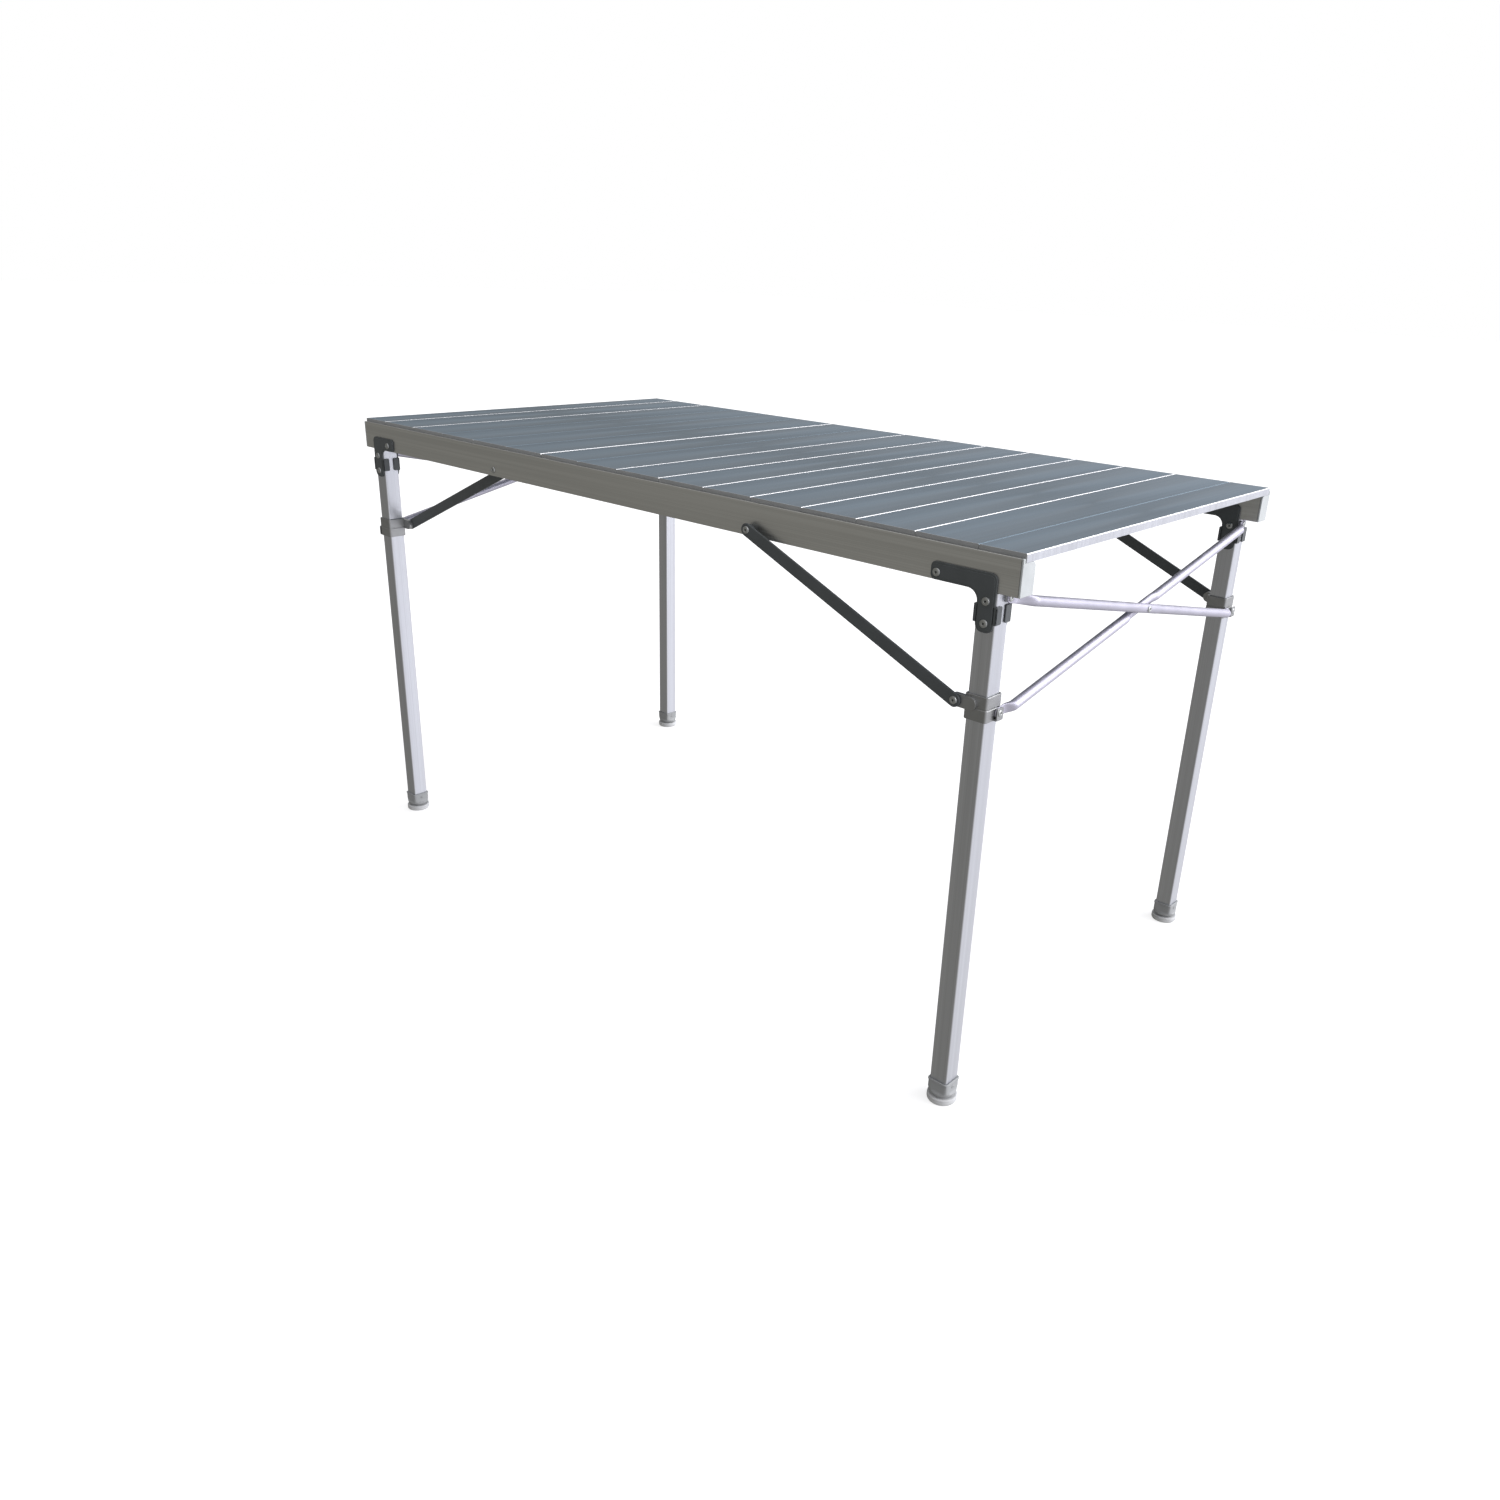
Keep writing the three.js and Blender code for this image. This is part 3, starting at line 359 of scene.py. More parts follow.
def drawn_aluminium(name, base, line, run, roughness, depth):
    """Extruded, anodised aluminium: die lines run along it, so its gloss is stretched across them.

    line is the lines' spacing and run their length, each as a vector of real sizes along X, Y and Z.
    """
    material = new_finish(name)
    tree = material.node_tree
    place = add_node(tree, "ShaderNodeTexCoord").outputs["Object"]
    across = add_node(tree, "ShaderNodeMapping", {"Vector": place, "Scale": [1 / size for size in line]})
    lines = add_node(
        tree,
        "ShaderNodeTexNoise",
        {"Vector": across.outputs["Vector"], "Scale": 1.0, "Detail": 3.0, "Roughness": 0.6},
    )
    broad = add_node(tree, "ShaderNodeMapping", {"Vector": place, "Scale": [1 / size for size in run]})
    cloud = add_node(
        tree,
        "ShaderNodeTexNoise",
        {"Vector": broad.outputs["Vector"], "Scale": 1.0, "Detail": 2.0, "Roughness": 0.5},
    )
    both = add_node(
        tree, "ShaderNodeMath", {0: lines.outputs["Fac"], 1: cloud.outputs["Fac"]}, operation="MULTIPLY"
    )
    tone = add_node(
        tree,
        "ShaderNodeMapRange",
        {"Value": both.outputs["Value"], "From Min": 0.12, "From Max": 0.4, "To Min": 0.0, "To Max": 1.0},
    )
    paint = add_node(
        tree,
        "ShaderNodeMix",
        {"Factor": tone.outputs["Result"], 6: shade(base, 0.9), 7: shade(base, 1.08)},
        data_type="RGBA",
    )
    gloss = add_node(
        tree,
        "ShaderNodeMapRange",
        {"Value": lines.outputs["Fac"], "From Min": 0.3, "From Max": 0.7, "To Min": roughness - 0.06,
         "To Max": roughness + 0.06},
    )
    bump = add_node(
        tree, "ShaderNodeBump", {"Height": lines.outputs["Fac"], "Strength": 0.25, "Distance": depth}
    )
    shader = add_node(
        tree,
        "ShaderNodeBsdfPrincipled",
        {
            "Base Color": paint.outputs[2],
            "Metallic": 1.0,
            "Roughness": gloss.outputs["Result"],
            "Normal": bump.outputs["Normal"],
            "Anisotropic": 0.3,
        },
    )
    add_node(tree, "ShaderNodeOutputMaterial", {"Surface": shader.outputs["BSDF"]})
    return material


def grained(name, base, grain, metallic, roughness, depth, wear=0.0):
    """A surface with an even grain, such as powder coat, plating or moulded plastic.

    grain is the real size of its bumps, and wear lightens the light end of its random tone further.
    """
    material = new_finish(name)
    tree = material.node_tree
    place = add_node(tree, "ShaderNodeTexCoord").outputs["Object"]
    noise = add_node(
        tree, "ShaderNodeTexNoise", {"Vector": place, "Scale": 1 / grain, "Detail": 2.0, "Roughness": 0.55}
    )
    cloud = add_node(
        tree,
        "ShaderNodeTexNoise",
        {"Vector": place, "Scale": 1 / CLOUD_SIZE, "Detail": 3.0, "Roughness": 0.5},
    )
    paint = add_node(
        tree,
        "ShaderNodeMix",
        {"Factor": cloud.outputs["Fac"], 6: shade(base, 0.88), 7: shade(base, 1.12 + wear)},
        data_type="RGBA",
    )
    gloss = add_node(
        tree,
        "ShaderNodeMapRange",
        {"Value": cloud.outputs["Fac"], "From Min": 0.35, "From Max": 0.65, "To Min": roughness - 0.05,
         "To Max": roughness + 0.05},
    )
    bump = add_node(
        tree, "ShaderNodeBump", {"Height": noise.outputs["Fac"], "Strength": 0.35, "Distance": depth}
    )
    shader = add_node(
        tree,
        "ShaderNodeBsdfPrincipled",
        {
            "Base Color": paint.outputs[2],
            "Metallic": metallic,
            "Roughness": gloss.outputs["Result"],
            "Normal": bump.outputs["Normal"],
        },
    )
    add_node(tree, "ShaderNodeOutputMaterial", {"Surface": shader.outputs["BSDF"]})
    return material


# Real sizes of the patterns. Die lines are about 0.1 mm apart and powder grain about 0.2 mm, which is too
# fine to show, so both are drawn coarser.
DIE_LINE = 1.4 * MM
DIE_RUN = 900 * MM
BAND = 11 * MM
POWDER_GRAIN = 0.8 * MM
MOULD_GRAIN = 0.6 * MM
CLOUD_SIZE = 22 * MM
FINE_DEPTH = 0.02 * MM
TUBE_DEPTH = 0.003 * MM
POWDER_DEPTH = 0.06 * MM


def finish(kind):
    """The finish of that name, made once."""
    made = bpy.data.materials.get(kind)
    return made or FINISHES[kind](kind)


RIVET_FINISHES = ("zinc_plated_steel", "mandrel_and_dimple_shade")

# Each finish by its real name, and what it gives the eye.
FINISHES = {
    # Dyed anodising on an extrusion: a soft blue-grey sheen with fine lines along each slat.
    "blue_anodised_slat": lambda name: drawn_aluminium(
        name, colours().slat, (DIE_LINE, DIE_RUN, DIE_LINE), (BAND, DIE_RUN, BAND), 0.5, FINE_DEPTH
    ),
    # The slats' top chamfers: a painted highlight in white metal, standing in for the light the chamfers
    # catch, drawn white so that it shows as a line.
    "painted_highlight_edge": lambda name: grained(name, colours().edge, MOULD_GRAIN, 1.0, 0.4, FINE_DEPTH),
    # Clear anodising on a rail: warm grey and satin, with lines along X.
    "clear_anodised_rail": lambda name: drawn_aluminium(
        name, colours().rail, (DIE_RUN, DIE_LINE, DIE_LINE), (DIE_RUN, BAND, BAND), 0.38, FINE_DEPTH
    ),
    # The same on a leg, where the lines run down it.
    "clear_anodised_leg": lambda name: drawn_aluminium(
        name, colours().leg, (DIE_LINE, DIE_LINE, DIE_RUN), (BAND, BAND, DIE_RUN), 0.34, FINE_DEPTH
    ),
    # Drawn tube: pale and satin, and less metallic than bare tube, so that it stays light from every side.
    "drawn_aluminium_tube": lambda name: grained(name, colours().tube, MOULD_GRAIN, 0.75, 0.5, TUBE_DEPTH),
    # Grey anodised casting: satin, with a slight cloudiness.
    "grey_anodised_casting": lambda name: grained(name, colours().collar, POWDER_GRAIN, 0.9, 0.4, FINE_DEPTH),
    # Powder coat: near black, with a fine orange peel that breaks up its highlights.
    "black_powder_coat": lambda name: grained(
        name, colours().steel, POWDER_GRAIN, 0.0, 0.36, POWDER_DEPTH, wear=0.2
    ),
    # Zinc-plated steel: bright grey heads.
    "zinc_plated_steel": lambda name: grained(name, colours().rivet, MOULD_GRAIN, 1.0, 0.3, FINE_DEPTH),
    # The mandrel in a rivet's dimple: dark steel, partly its own colour and partly painted shade in the
    # dimple.
    "mandrel_and_dimple_shade": lambda name: grained(name, linear("#3A3B3B"), MOULD_GRAIN, 0.8, 0.5, FINE_DEPTH),
    # Injection-moulded nylon caps: pale, with a soft highlight.
    "moulded_nylon_cap": lambda name: grained(name, colours().cap, MOULD_GRAIN, 0.0, 0.45, FINE_DEPTH),
    # Moulded sleeves: a darker grey with a matt grain.
    "moulded_nylon_sleeve": lambda name: grained(name, colours().sleeve, MOULD_GRAIN, 0.0, 0.48, FINE_DEPTH),
    # Soft foot pads: pale and matt.
    "moulded_rubber_pad": lambda name: grained(name, colours().pad, MOULD_GRAIN, 0.0, 0.6, FINE_DEPTH),
}


# --- Slat top -----------------------------------------------------------------------------------------

SLATS = sorted(node for node in frame["nodes"] if node.startswith("slat_"))
SLAT_CELLS = 3
WORN_JOINT = 5  # this joint stands a little open, so its chamfers, which carry the painted highlight, are wider
WORN_CHAMFER = 1.7 * MM
JOINTS_WITHOUT_HIGHLIGHT = (2, 3, 4, 6, 14)  # joints whose chamfers get no painted highlight and keep the slats' anodising


SLAT_FINISHES = ("blue_anodised_slat", "painted_highlight_edge", "moulded_nylon_sleeve", "clear_anodised_leg")
PAINTED_HIGHLIGHT, PLUG, LIT_SIDE = 1, 2, 3  # places among a slat's finishes
UPRIGHT = 0.95  # a unit normal's part along an axis, above which the face looks that way
LEVEL = 0.3  # and below which it looks across it
PLUG_FLANGE = 0.8 * MM
PLUG_DEPTH = 6 * MM


def slat_outline(low, high, left, right):
    return [
        Vector(corner)
        for corner in (
            (low.x, low.z),
            (high.x, low.z),
            (high.x, high.z - right),
            (high.x - right, high.z),
            (low.x + left, high.z),
            (low.x, high.z - left),
        )
    ]


def slat_cells(low, high, wall):
    pitch = (high.x - low.x - wall) / SLAT_CELLS
    starts = [low.x + wall + i * pitch for i in range(SLAT_CELLS)]
    return [rectangle(x, x + pitch - wall, low.z + wall, high.z - wall, wall / 3) for x in starts]


def make_slat(index, node):
    low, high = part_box(node)
    chamfers = [WORN_CHAMFER if joint == WORN_JOINT else sizes().slat_chamfer for joint in (index - 1, index)]
    outline = slat_outline(low, high, *chamfers)
    cells = slat_cells(low, high, sizes().slat_wall)
    shapes = [plate(outline, low.y, high.y, "xzy", holes=cells)]
    for end, inwards in ((low.y, 1), (high.y, -1)):
        shapes.append(plate(outline, end - inwards * PLUG_FLANGE, end, "xzy", place=PLUG))
        shapes += [plate(cell, end, end + inwards * PLUG_DEPTH, "xzy", place=PLUG) for cell in cells]
    piece = add_piece(node + "_extrusion", node, shapes, SLAT_FINISHES, [node])
    for face in piece.data.polygons:
        if face.material_index == PLUG:
            continue
        # painted light: the last slat's side facing the light takes the paler leg finish
        if is_lit_right_edge(index, face, high):
            face.material_index = LIT_SIDE
        # painted highlight: chamfers that catch the light take white metal
        elif gets_painted_highlight(index, face, high):
            face.material_index = PAINTED_HIGHLIGHT


def is_lit_right_edge(index, face, high):
    """Whether a face is the table's right-hand edge, drawn in the paler leg finish as painted light on the
    side that faces the light.
    """
    return index == len(SLATS) - 1 and face.normal.x > UPRIGHT and face.center.x > high.x - MM


def gets_painted_highlight(index, face, high):
    """Whether a face is a chamfer that takes the painted highlight in white metal, where a joint catches the
    light.
    """
    joint = index if face.normal.x > 0 else index - 1
    sloping = LEVEL < face.normal.z < UPRIGHT
    return sloping and face.center.z > high.z - 2 * WORN_CHAMFER and joint not in JOINTS_WITHOUT_HIGHLIGHT


class CAMPING_OT_slat_top(bpy.types.Operator):
    """Makes the slats of the roll-up top"""

    bl_idname = "camping_table.slat_top"
    bl_label = "Slat top"

    def execute(self, context):
        for index, node in enumerate(SLATS):
            make_slat(index, node)
        return {"FINISHED"}


# --- Rails --------------------------------------------------------------------------------------------

LEDGE_GAP = 0.3 * MM
CAP_GAP = 0.3 * MM
CAP_CORNER = 6 * MM
CAP_EDGE = 0.7 * MM


def rail_outline(side, low, high, corner, edge):
    """The rail's section in Y and Z: a box with a ledge for the slats and a lip outside it."""
    outer, inner = (high.y, low.y) if side > 0 else (low.y, high.y)
    lip = outer - side * sizes().lip_width
    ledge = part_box(SLATS[0])[0].z - LEDGE_GAP
    return rounded(
        [
            (inner, low.z, edge),
            (outer, low.z, edge),
            (outer, high.z, edge),
            (lip, high.z, edge),
            (lip, ledge, 0),
            (inner, ledge, corner),
        ]
    ), ledge


def make_rail(side_name, side):
    node = "rail_" + side_name
    low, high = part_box(node)
    edge = sizes().rail_edge
    outline, ledge = rail_outline(side, low, high, edge, edge)
    wall = sizes().rail_wall
    hollow = rectangle(low.y + wall, high.y - wall, low.z + wall, ledge - wall, wall / 3)
    shape = plate(outline, low.x, high.x, "yzx", holes=[hollow])
    add_piece(node + "_extrusion", node, [shape], ["clear_anodised_rail"], [node])


def make_rail_cap(side_name, side, end_name, end):
    node = f"rail_cap_{side_name}_{end_name}"
    low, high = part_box(node)
    face, back = (high.x, low.x) if end > 0 else (low.x, high.x)
    seat = face - end * sizes().cap_flange
    outline, ledge = rail_outline(side, low, high, CAP_CORNER, CAP_EDGE)
    inset = sizes().rail_wall + CAP_GAP
    plug = (low.y + inset, high.y - inset, low.z + inset, ledge - inset)
    wall = sizes().rail_wall
    bore = (plug[0] + wall, plug[1] - wall, plug[2] + wall, plug[3] - wall)
    shapes = [
        plate(outline, face, seat, "yzx", CAP_EDGE),
        plate(rectangle(*plug, wall / 2), seat + end * CAP_GAP, back, "yzx", holes=[rectangle(*bore)]),
    ]
    add_piece(node + "_moulding", "rail_" + side_name, shapes, ["moulded_nylon_cap"], [node])


class CAMPING_OT_rails(bpy.types.Operator):
    """Makes both rails and their end caps"""

    bl_idname = "camping_table.rails"
    bl_label = "Rails"

    def execute(self, context):
        for side_name, side in SIDES.items():
            make_rail(side_name, side)
            for end_name, end in ENDS.items():
                make_rail_cap(side_name, side, end_name, end)
        return {"FINISHED"}


# --- Legs and feet ------------------------------------------------------------------------------------

FOOT_GROOVE = 3 * MM
SLEEVE_RIM = 3 * MM
SLEEVE_RIM_OUT = 0.6 * MM
SLEEVE_WALL = 1.5 * MM
SLEEVE_FLOOR = 4 * MM
SLEEVE_FLARE = 5 * MM
SLEEVE_RIVET = (5 * MM, 0.8 * MM, 3 * MM, 1 * MM)  # head, its height, shank and how far the shank goes in
STEM_RADIUS = 4 * MM
STEM_GAP = 0.4 * MM
# Powers of the sleeve's superellipse sections.
CIRCLE = 2.0
NEARLY_ROUND = 2.2
ROUNDED_SQUARE = 4.0
SQUARENESS = 9.0
BORE_SQUARENESS = 14.0
SLEEVE_STEPS = 72


def leg_middle(side_name, end_name):
    low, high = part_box(f"foot_pad_{side_name}_{end_name}")
    return (low + high) / 2


def half_leg(side_name, end_name):
    """Half the width of the square leg."""
    low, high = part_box(f"leg_{side_name}_{end_name}")
    return (high.y - low.y) / 2


def make_leg(side_name, end_name):
    key = f"{side_name}_{end_name}"
    low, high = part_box("leg_" + key)
    middle = leg_middle(side_name, end_name)
    half = (high.y - low.y) / 2
    wall = sizes().leg_wall
    corner = sizes().leg_corner
    outline = rectangle(middle.x - half, middle.x + half, middle.y - half, middle.y + half, corner)
    inner = half - wall
    bore = rectangle(middle.x - inner, middle.x + inner, middle.y - inner, middle.y + inner, wall / 2)
    shape = plate(outline, low.z, high.z, "xyz", holes=[bore])
    add_piece("leg_" + key + "_tube", "leg_" + key, [shape], ["clear_anodised_leg"],
              ["leg_" + key])


def sleeve_ring(middle, z, radius, square):
    """A ring between a circle and a square: square is the power of a superellipse."""
    ring = []
    for step in range(SLEEVE_STEPS):
        angle = math.tau * step / SLEEVE_STEPS
        c, s = math.cos(angle), math.sin(angle)
        reach = radius / (abs(c) ** square + abs(s) ** square) ** (1 / square)
        ring.append(Vector((middle.x + reach * c, middle.y + reach * s, z)))
    return ring


def make_foot_sleeve(side_name, end_name):
    key = f"{side_name}_{end_name}"
    low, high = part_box("foot_sleeve_" + key)
    middle = leg_middle(side_name, end_name)
    flare = (high.x - low.x) / 2
    bore = half_leg(side_name, end_name) + CAP_GAP
    half = bore + SLEEVE_WALL
    rim = half + SLEEVE_RIM_OUT
    levels = [
        (low.z, flare - 1.2 * MM, CIRCLE),
        (low.z + 0.4 * MM, flare - 0.3 * MM, CIRCLE),
        (low.z + 1.2 * MM, flare, CIRCLE),
        (low.z + SLEEVE_FLARE - 1.5 * MM, flare, NEARLY_ROUND),
        (low.z + SLEEVE_FLARE, half + 0.9 * MM, ROUNDED_SQUARE),
        (low.z + SLEEVE_FLARE + 2 * MM, half, SQUARENESS),
        (high.z - SLEEVE_RIM, half, SQUARENESS),
        (high.z - SLEEVE_RIM + 0.5 * MM, rim, SQUARENESS),
        (high.z - 0.5 * MM, rim, SQUARENESS),
        (high.z, rim - 0.5 * MM, SQUARENESS),
        (high.z, bore, BORE_SQUARENESS),
        (low.z + SLEEVE_FLOOR, bore, BORE_SQUARENESS),
        (low.z + SLEEVE_FLOOR, STEM_RADIUS + STEM_GAP, CIRCLE),
        (low.z, STEM_RADIUS + STEM_GAP, CIRCLE),
    ]
    shapes = [skinned([sleeve_ring(middle, *level) for level in levels], 0, True)]
    for way in (-1, 1):
        face = Vector((middle.x + way * half, middle.y, (low.z + SLEEVE_FLARE + high.z) / 2))
        shapes += rivet(face, AXIS["x"] * way, *SLEEVE_RIVET)
    finishes = ["moulded_nylon_sleeve", "mandrel_and_dimple_shade"]
    node = "foot_sleeve_" + key
    add_piece(node + "_moulding", "leg_" + key, shapes, finishes, [node])


def make_foot_pad(side_name, end_name):
    key = f"{side_name}_{end_name}"
    low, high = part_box("foot_pad_" + key)
    middle = leg_middle(side_name, end_name)
    radius = (high.x - low.x) / 2
    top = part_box("foot_sleeve_" + key)[0].z - FOOT_GROOVE
    profile = [
        (0, 0),
        (radius - 2.5 * MM, 0),
        (radius - 0.9 * MM, 0.7 * MM),
        (radius - 0.1 * MM, 2.2 * MM),
        (radius, 3.4 * MM),
        (radius, top - 3.2 * MM),
        (radius - 0.5 * MM, top - 2.9 * MM),
        (radius - 0.5 * MM, top - 2.2 * MM),
        (radius, top - 1.9 * MM),
        (radius - 0.3 * MM, top - 0.6 * MM),
        (radius - 1.2 * MM, top),
        (STEM_RADIUS + 5 * MM, top),
        (STEM_RADIUS + 4.5 * MM, top + FOOT_GROOVE - 0.4 * MM),
        (STEM_RADIUS, top + FOOT_GROOVE - 0.4 * MM),
        (STEM_RADIUS, high.z),
        (0, high.z),
    ]
    shape = turned(profile, Vector((middle.x, middle.y, 0)), AXIS["z"])
    add_piece("foot_pad_" + key + "_moulding", "foot_pad_" + key, [shape],
              ["moulded_rubber_pad"], ["foot_pad_" + key])


class CAMPING_OT_legs(bpy.types.Operator):
    """Makes the legs, their foot sleeves and the foot pads"""

    bl_idname = "camping_table.legs"
    bl_label = "Legs and feet"

    def execute(self, context):
        for side_name in SIDES:
            for end_name in ENDS:
                make_leg(side_name, end_name)
                make_foot_sleeve(side_name, end_name)
                make_foot_pad(side_name, end_name)
        return {"FINISHED"}


# --- Brackets -----------------------------------------------------------------------------------------

BRACKET_PLATE = 2 * MM
BRACKET_HALF = 11.3 * MM  # half the width of the part that runs down the leg
BRACKET_ARM = 20 * MM  # height of the arm
BRACKET_OUTER_CORNER = 8 * MM
BRACKET_INNER_CORNER = 13 * MM
BRACKET_FOOT_CORNER = 9 * MM
BRACKET_END_CORNER = 6 * MM
PANEL_INSET = 2.4 * MM
PANEL_HEIGHT = 0.5 * MM
TAB_LOW = 10 * MM  # above the bracket's lower end
TAB_HIGH = 30 * MM
TAB_PLATE = 1.6 * MM
TAB_GAP = 0.3 * MM
LEG_RIVET_PLACES = (10 * MM, 34 * MM)  # above the bracket's lower end


def bracket_corners(way, x, low, high, end_x, inset):
    """The L-shaped outline, set in all round by inset. way points along the arm."""
    top = high.z - inset
    arm_low = high.z - BRACKET_ARM + inset
    outer = x - way * (BRACKET_HALF - inset)
    inner = x + way * (BRACKET_HALF - inset)
    foot = BRACKET_FOOT_CORNER - inset
    return [
        (outer, low.z + inset, foot),
        (inner, low.z + inset, foot),
        (inner, arm_low, BRACKET_INNER_CORNER + inset),
        (end_x - way * inset, arm_low, BRACKET_END_CORNER - inset),
        (end_x - way * inset, top, BRACKET_END_CORNER - inset),
        (outer, top, BRACKET_OUTER_CORNER - inset),
    ]


def make_bracket(side_name, end_name, face_name):
    key = f"{side_name}_{end_name}"
    node = f"bracket_{face_name}_{key}"
    low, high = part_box(node)
    middle = leg_middle(side_name, end_name)
    way = -ENDS[end_name]
    end_x = high.x if way > 0 else low.x
    outward = SIDES[side_name] * (1 if face_name == "outer" else -1)
    far = high.y if outward > 0 else low.y
    near = far - outward * BRACKET_PLATE
    back = low.y if outward > 0 else high.y
    edge = sizes().plate_edge
    outline = rounded(bracket_corners(way, middle.x, low, high, end_x, 0))
    panel = rounded(bracket_corners(way, middle.x, low, high, end_x, PANEL_INSET))
    shapes = [
        plate(outline, near, far, "xzy", edge),
        plate(panel, far - outward * PANEL_HEIGHT, far + outward * PANEL_HEIGHT, "xzy", PANEL_HEIGHT * 0.8),
    ]
    tab_inner = half_leg(side_name, end_name) + TAB_GAP
    tab_outer = tab_inner + TAB_PLATE
    for side in (-1, 1):
        wing = rectangle(middle.x + side * (BRACKET_HALF - 2 * MM), middle.x + side * tab_outer,
                         low.z + TAB_LOW, low.z + TAB_HIGH, edge)
        flank = rectangle(back, far, low.z + TAB_LOW, low.z + TAB_HIGH, 2 * MM)
        shapes.append(plate(wing, near, far, "xzy", edge))
        shapes.append(plate(flank, middle.x + side * tab_inner, middle.x + side * tab_outer, "yzx", edge))
    add_piece(node + "_stamping", "leg_" + key, shapes, ["black_powder_coat"], [node])


def make_leg_rivets(side_name, end_name):
    """The rivets that hold both bracket plates to the leg, with a head on each plate."""
    key = f"{side_name}_{end_name}"
    outer_low, outer_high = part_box("bracket_outer_" + key)
    inner_low, inner_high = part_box("bracket_inner_" + key)
    middle = leg_middle(side_name, end_name)
    faces = (max(outer_high.y, inner_high.y), min(outer_low.y, inner_low.y))
    reach = abs(faces[0] - faces[1]) / 2
    head, height = sizes().rivet_head, sizes().rivet_height
    for number, rise in enumerate(LEG_RIVET_PLACES, 1):
        shapes = []
        for face, way in zip(faces, (1, -1)):
            place = Vector((middle.x, face + way * PANEL_HEIGHT, outer_low.z + rise))
            shapes += rivet(place, AXIS["y"] * way, head, height, LEG_SHANK, reach)
        add_piece(f"leg_rivet_{key}_{number}", "leg_" + key, shapes, RIVET_FINISHES)


def make_crank_rivet(side_name, end_name):
    """The rivet that the leg folds on, through the rail and both plates."""
    key = f"{side_name}_{end_name}"
    node = "crank_rivet_" + key
    low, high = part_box(node)
    middle = (low + high) / 2
    height = sizes().rivet_height
    shapes = []
    for face, way in ((high.y - height, 1), (low.y + height, -1)):
        place = Vector((middle.x, face + way * PANEL_HEIGHT, middle.z))
        shapes += rivet(place, AXIS["y"] * way, sizes().rivet_head, height, LARGE_SHANK, (high.y - low.y) / 2)
    add_piece(node + "_head", "leg_" + key, shapes, RIVET_FINISHES, [node])


class CAMPING_OT_brackets(bpy.types.Operator):
    """Makes the bracket plates and the rivets through them"""

    bl_idname = "camping_table.brackets"
    bl_label = "Brackets"

    def execute(self, context):
        for side_name in SIDES:
            for end_name in ENDS:
                make_bracket(side_name, end_name, "outer")
                make_bracket(side_name, end_name, "inner")
                make_leg_rivets(side_name, end_name)
                make_crank_rivet(side_name, end_name)
        return {"FINISHED"}


# --- Braces and collars -------------------------------------------------------------------------------

SPACER_RADIUS = 6 * MM
LUG_RADIUS = 7.5 * MM
LUG_GAP = 0.3 * MM
COLLAR_WALL = 2 * MM
COLLAR_GAP = 0.3 * MM
COLLAR_CORNER = 3.4 * MM
COLLAR_EDGE = 0.7 * MM
GROOVE_HALF = 1.1 * MM
GROOVE_DEPTH = 0.5 * MM
EAR_PLATE = 1.6 * MM
EAR_WEB = 2 * MM
EAR_START = 1.5 * MM
EAR_WIDTH = 12.5 * MM
EAR_ABOVE_PIVOT = 6 * MM
TAB_THICKNESS = 1.8 * MM


def brace_ends(side_name, end_name):
    """The brace's upper and lower pivots in X and Z."""
    node = f"brace_{side_name}_{end_name}"
    low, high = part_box(node)
    top = PIVOTS[f"brace_pivot_{side_name}_{end_name}"]
    half = sizes().brace_width / 2
    foot_x = high.x - half if ENDS[end_name] > 0 else low.x + half
    return Vector((top.x, top.z)), Vector((foot_x, low.z + half))


def make_brace(side_name, end_name):
    key = f"{side_name}_{end_name}"
    top, foot = brace_ends(side_name, end_name)
    rail_low, rail_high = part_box("rail_" + side_name)
    outward = SIDES[side_name] * BRACE_FACE[end_name]
    face, back = (rail_high.y, rail_low.y) if outward > 0 else (rail_low.y, rail_high.y)
    near = face + outward * sizes().brace_standoff
    far = near + outward * sizes().brace_thickness
    height = sizes().rivet_height
    way = AXIS["y"] * outward
    shapes = [plate(stadium(top, foot, sizes().brace_width / 2), near, far, "xzy", sizes().plate_edge)]
    standoff = sizes().brace_standoff
    spacer = [(0, 0), (SPACER_RADIUS, 0), (SPACER_RADIUS, standoff), (0, standoff)]
    shapes.append(turned(spacer, Vector((top.x, face + outward * LUG_GAP, top.y)), way))
    reach = abs(far - back)
    head = sizes().rivet_head
    shapes_of_rivets = rivet(Vector((top.x, far, top.y)), way, head, height, LARGE_SHANK, reach, 2)
    shapes_of_rivets += rivet(Vector((foot.x, far, foot.y)), way, sizes().rivet_head, height, LARGE_SHANK,
                              sizes().brace_thickness, 2)
    rear_face = Vector((top.x, back - outward * LUG_GAP, top.y))
    shapes_of_rivets += rivet(rear_face, -way, sizes().rivet_head, height, LARGE_SHANK, height, 2)
    shapes += [(points, faces, max(kind, 1)) for points, faces, kind in shapes_of_rivets]
    finishes = ["black_powder_coat", "zinc_plated_steel", "mandrel_and_dimple_shade"]
    add_piece(f"brace_{key}_bar", "brace_" + key, shapes, finishes, ["brace_" + key])


def collar_levels(low, high):
    """Rounded edges and a groove round the middle of the collar."""
    levels = edge_levels(low, high, COLLAR_EDGE)
    middle = (low + high) / 2
    groove = [
        (middle - GROOVE_HALF, 0.0),
        (middle - GROOVE_HALF / 2, GROOVE_DEPTH),
        (middle + GROOVE_HALF / 2, GROOVE_DEPTH),
        (middle + GROOVE_HALF, 0.0),
    ]
    half = len(levels) // 2
    return levels[:half] + groove + levels[half:]


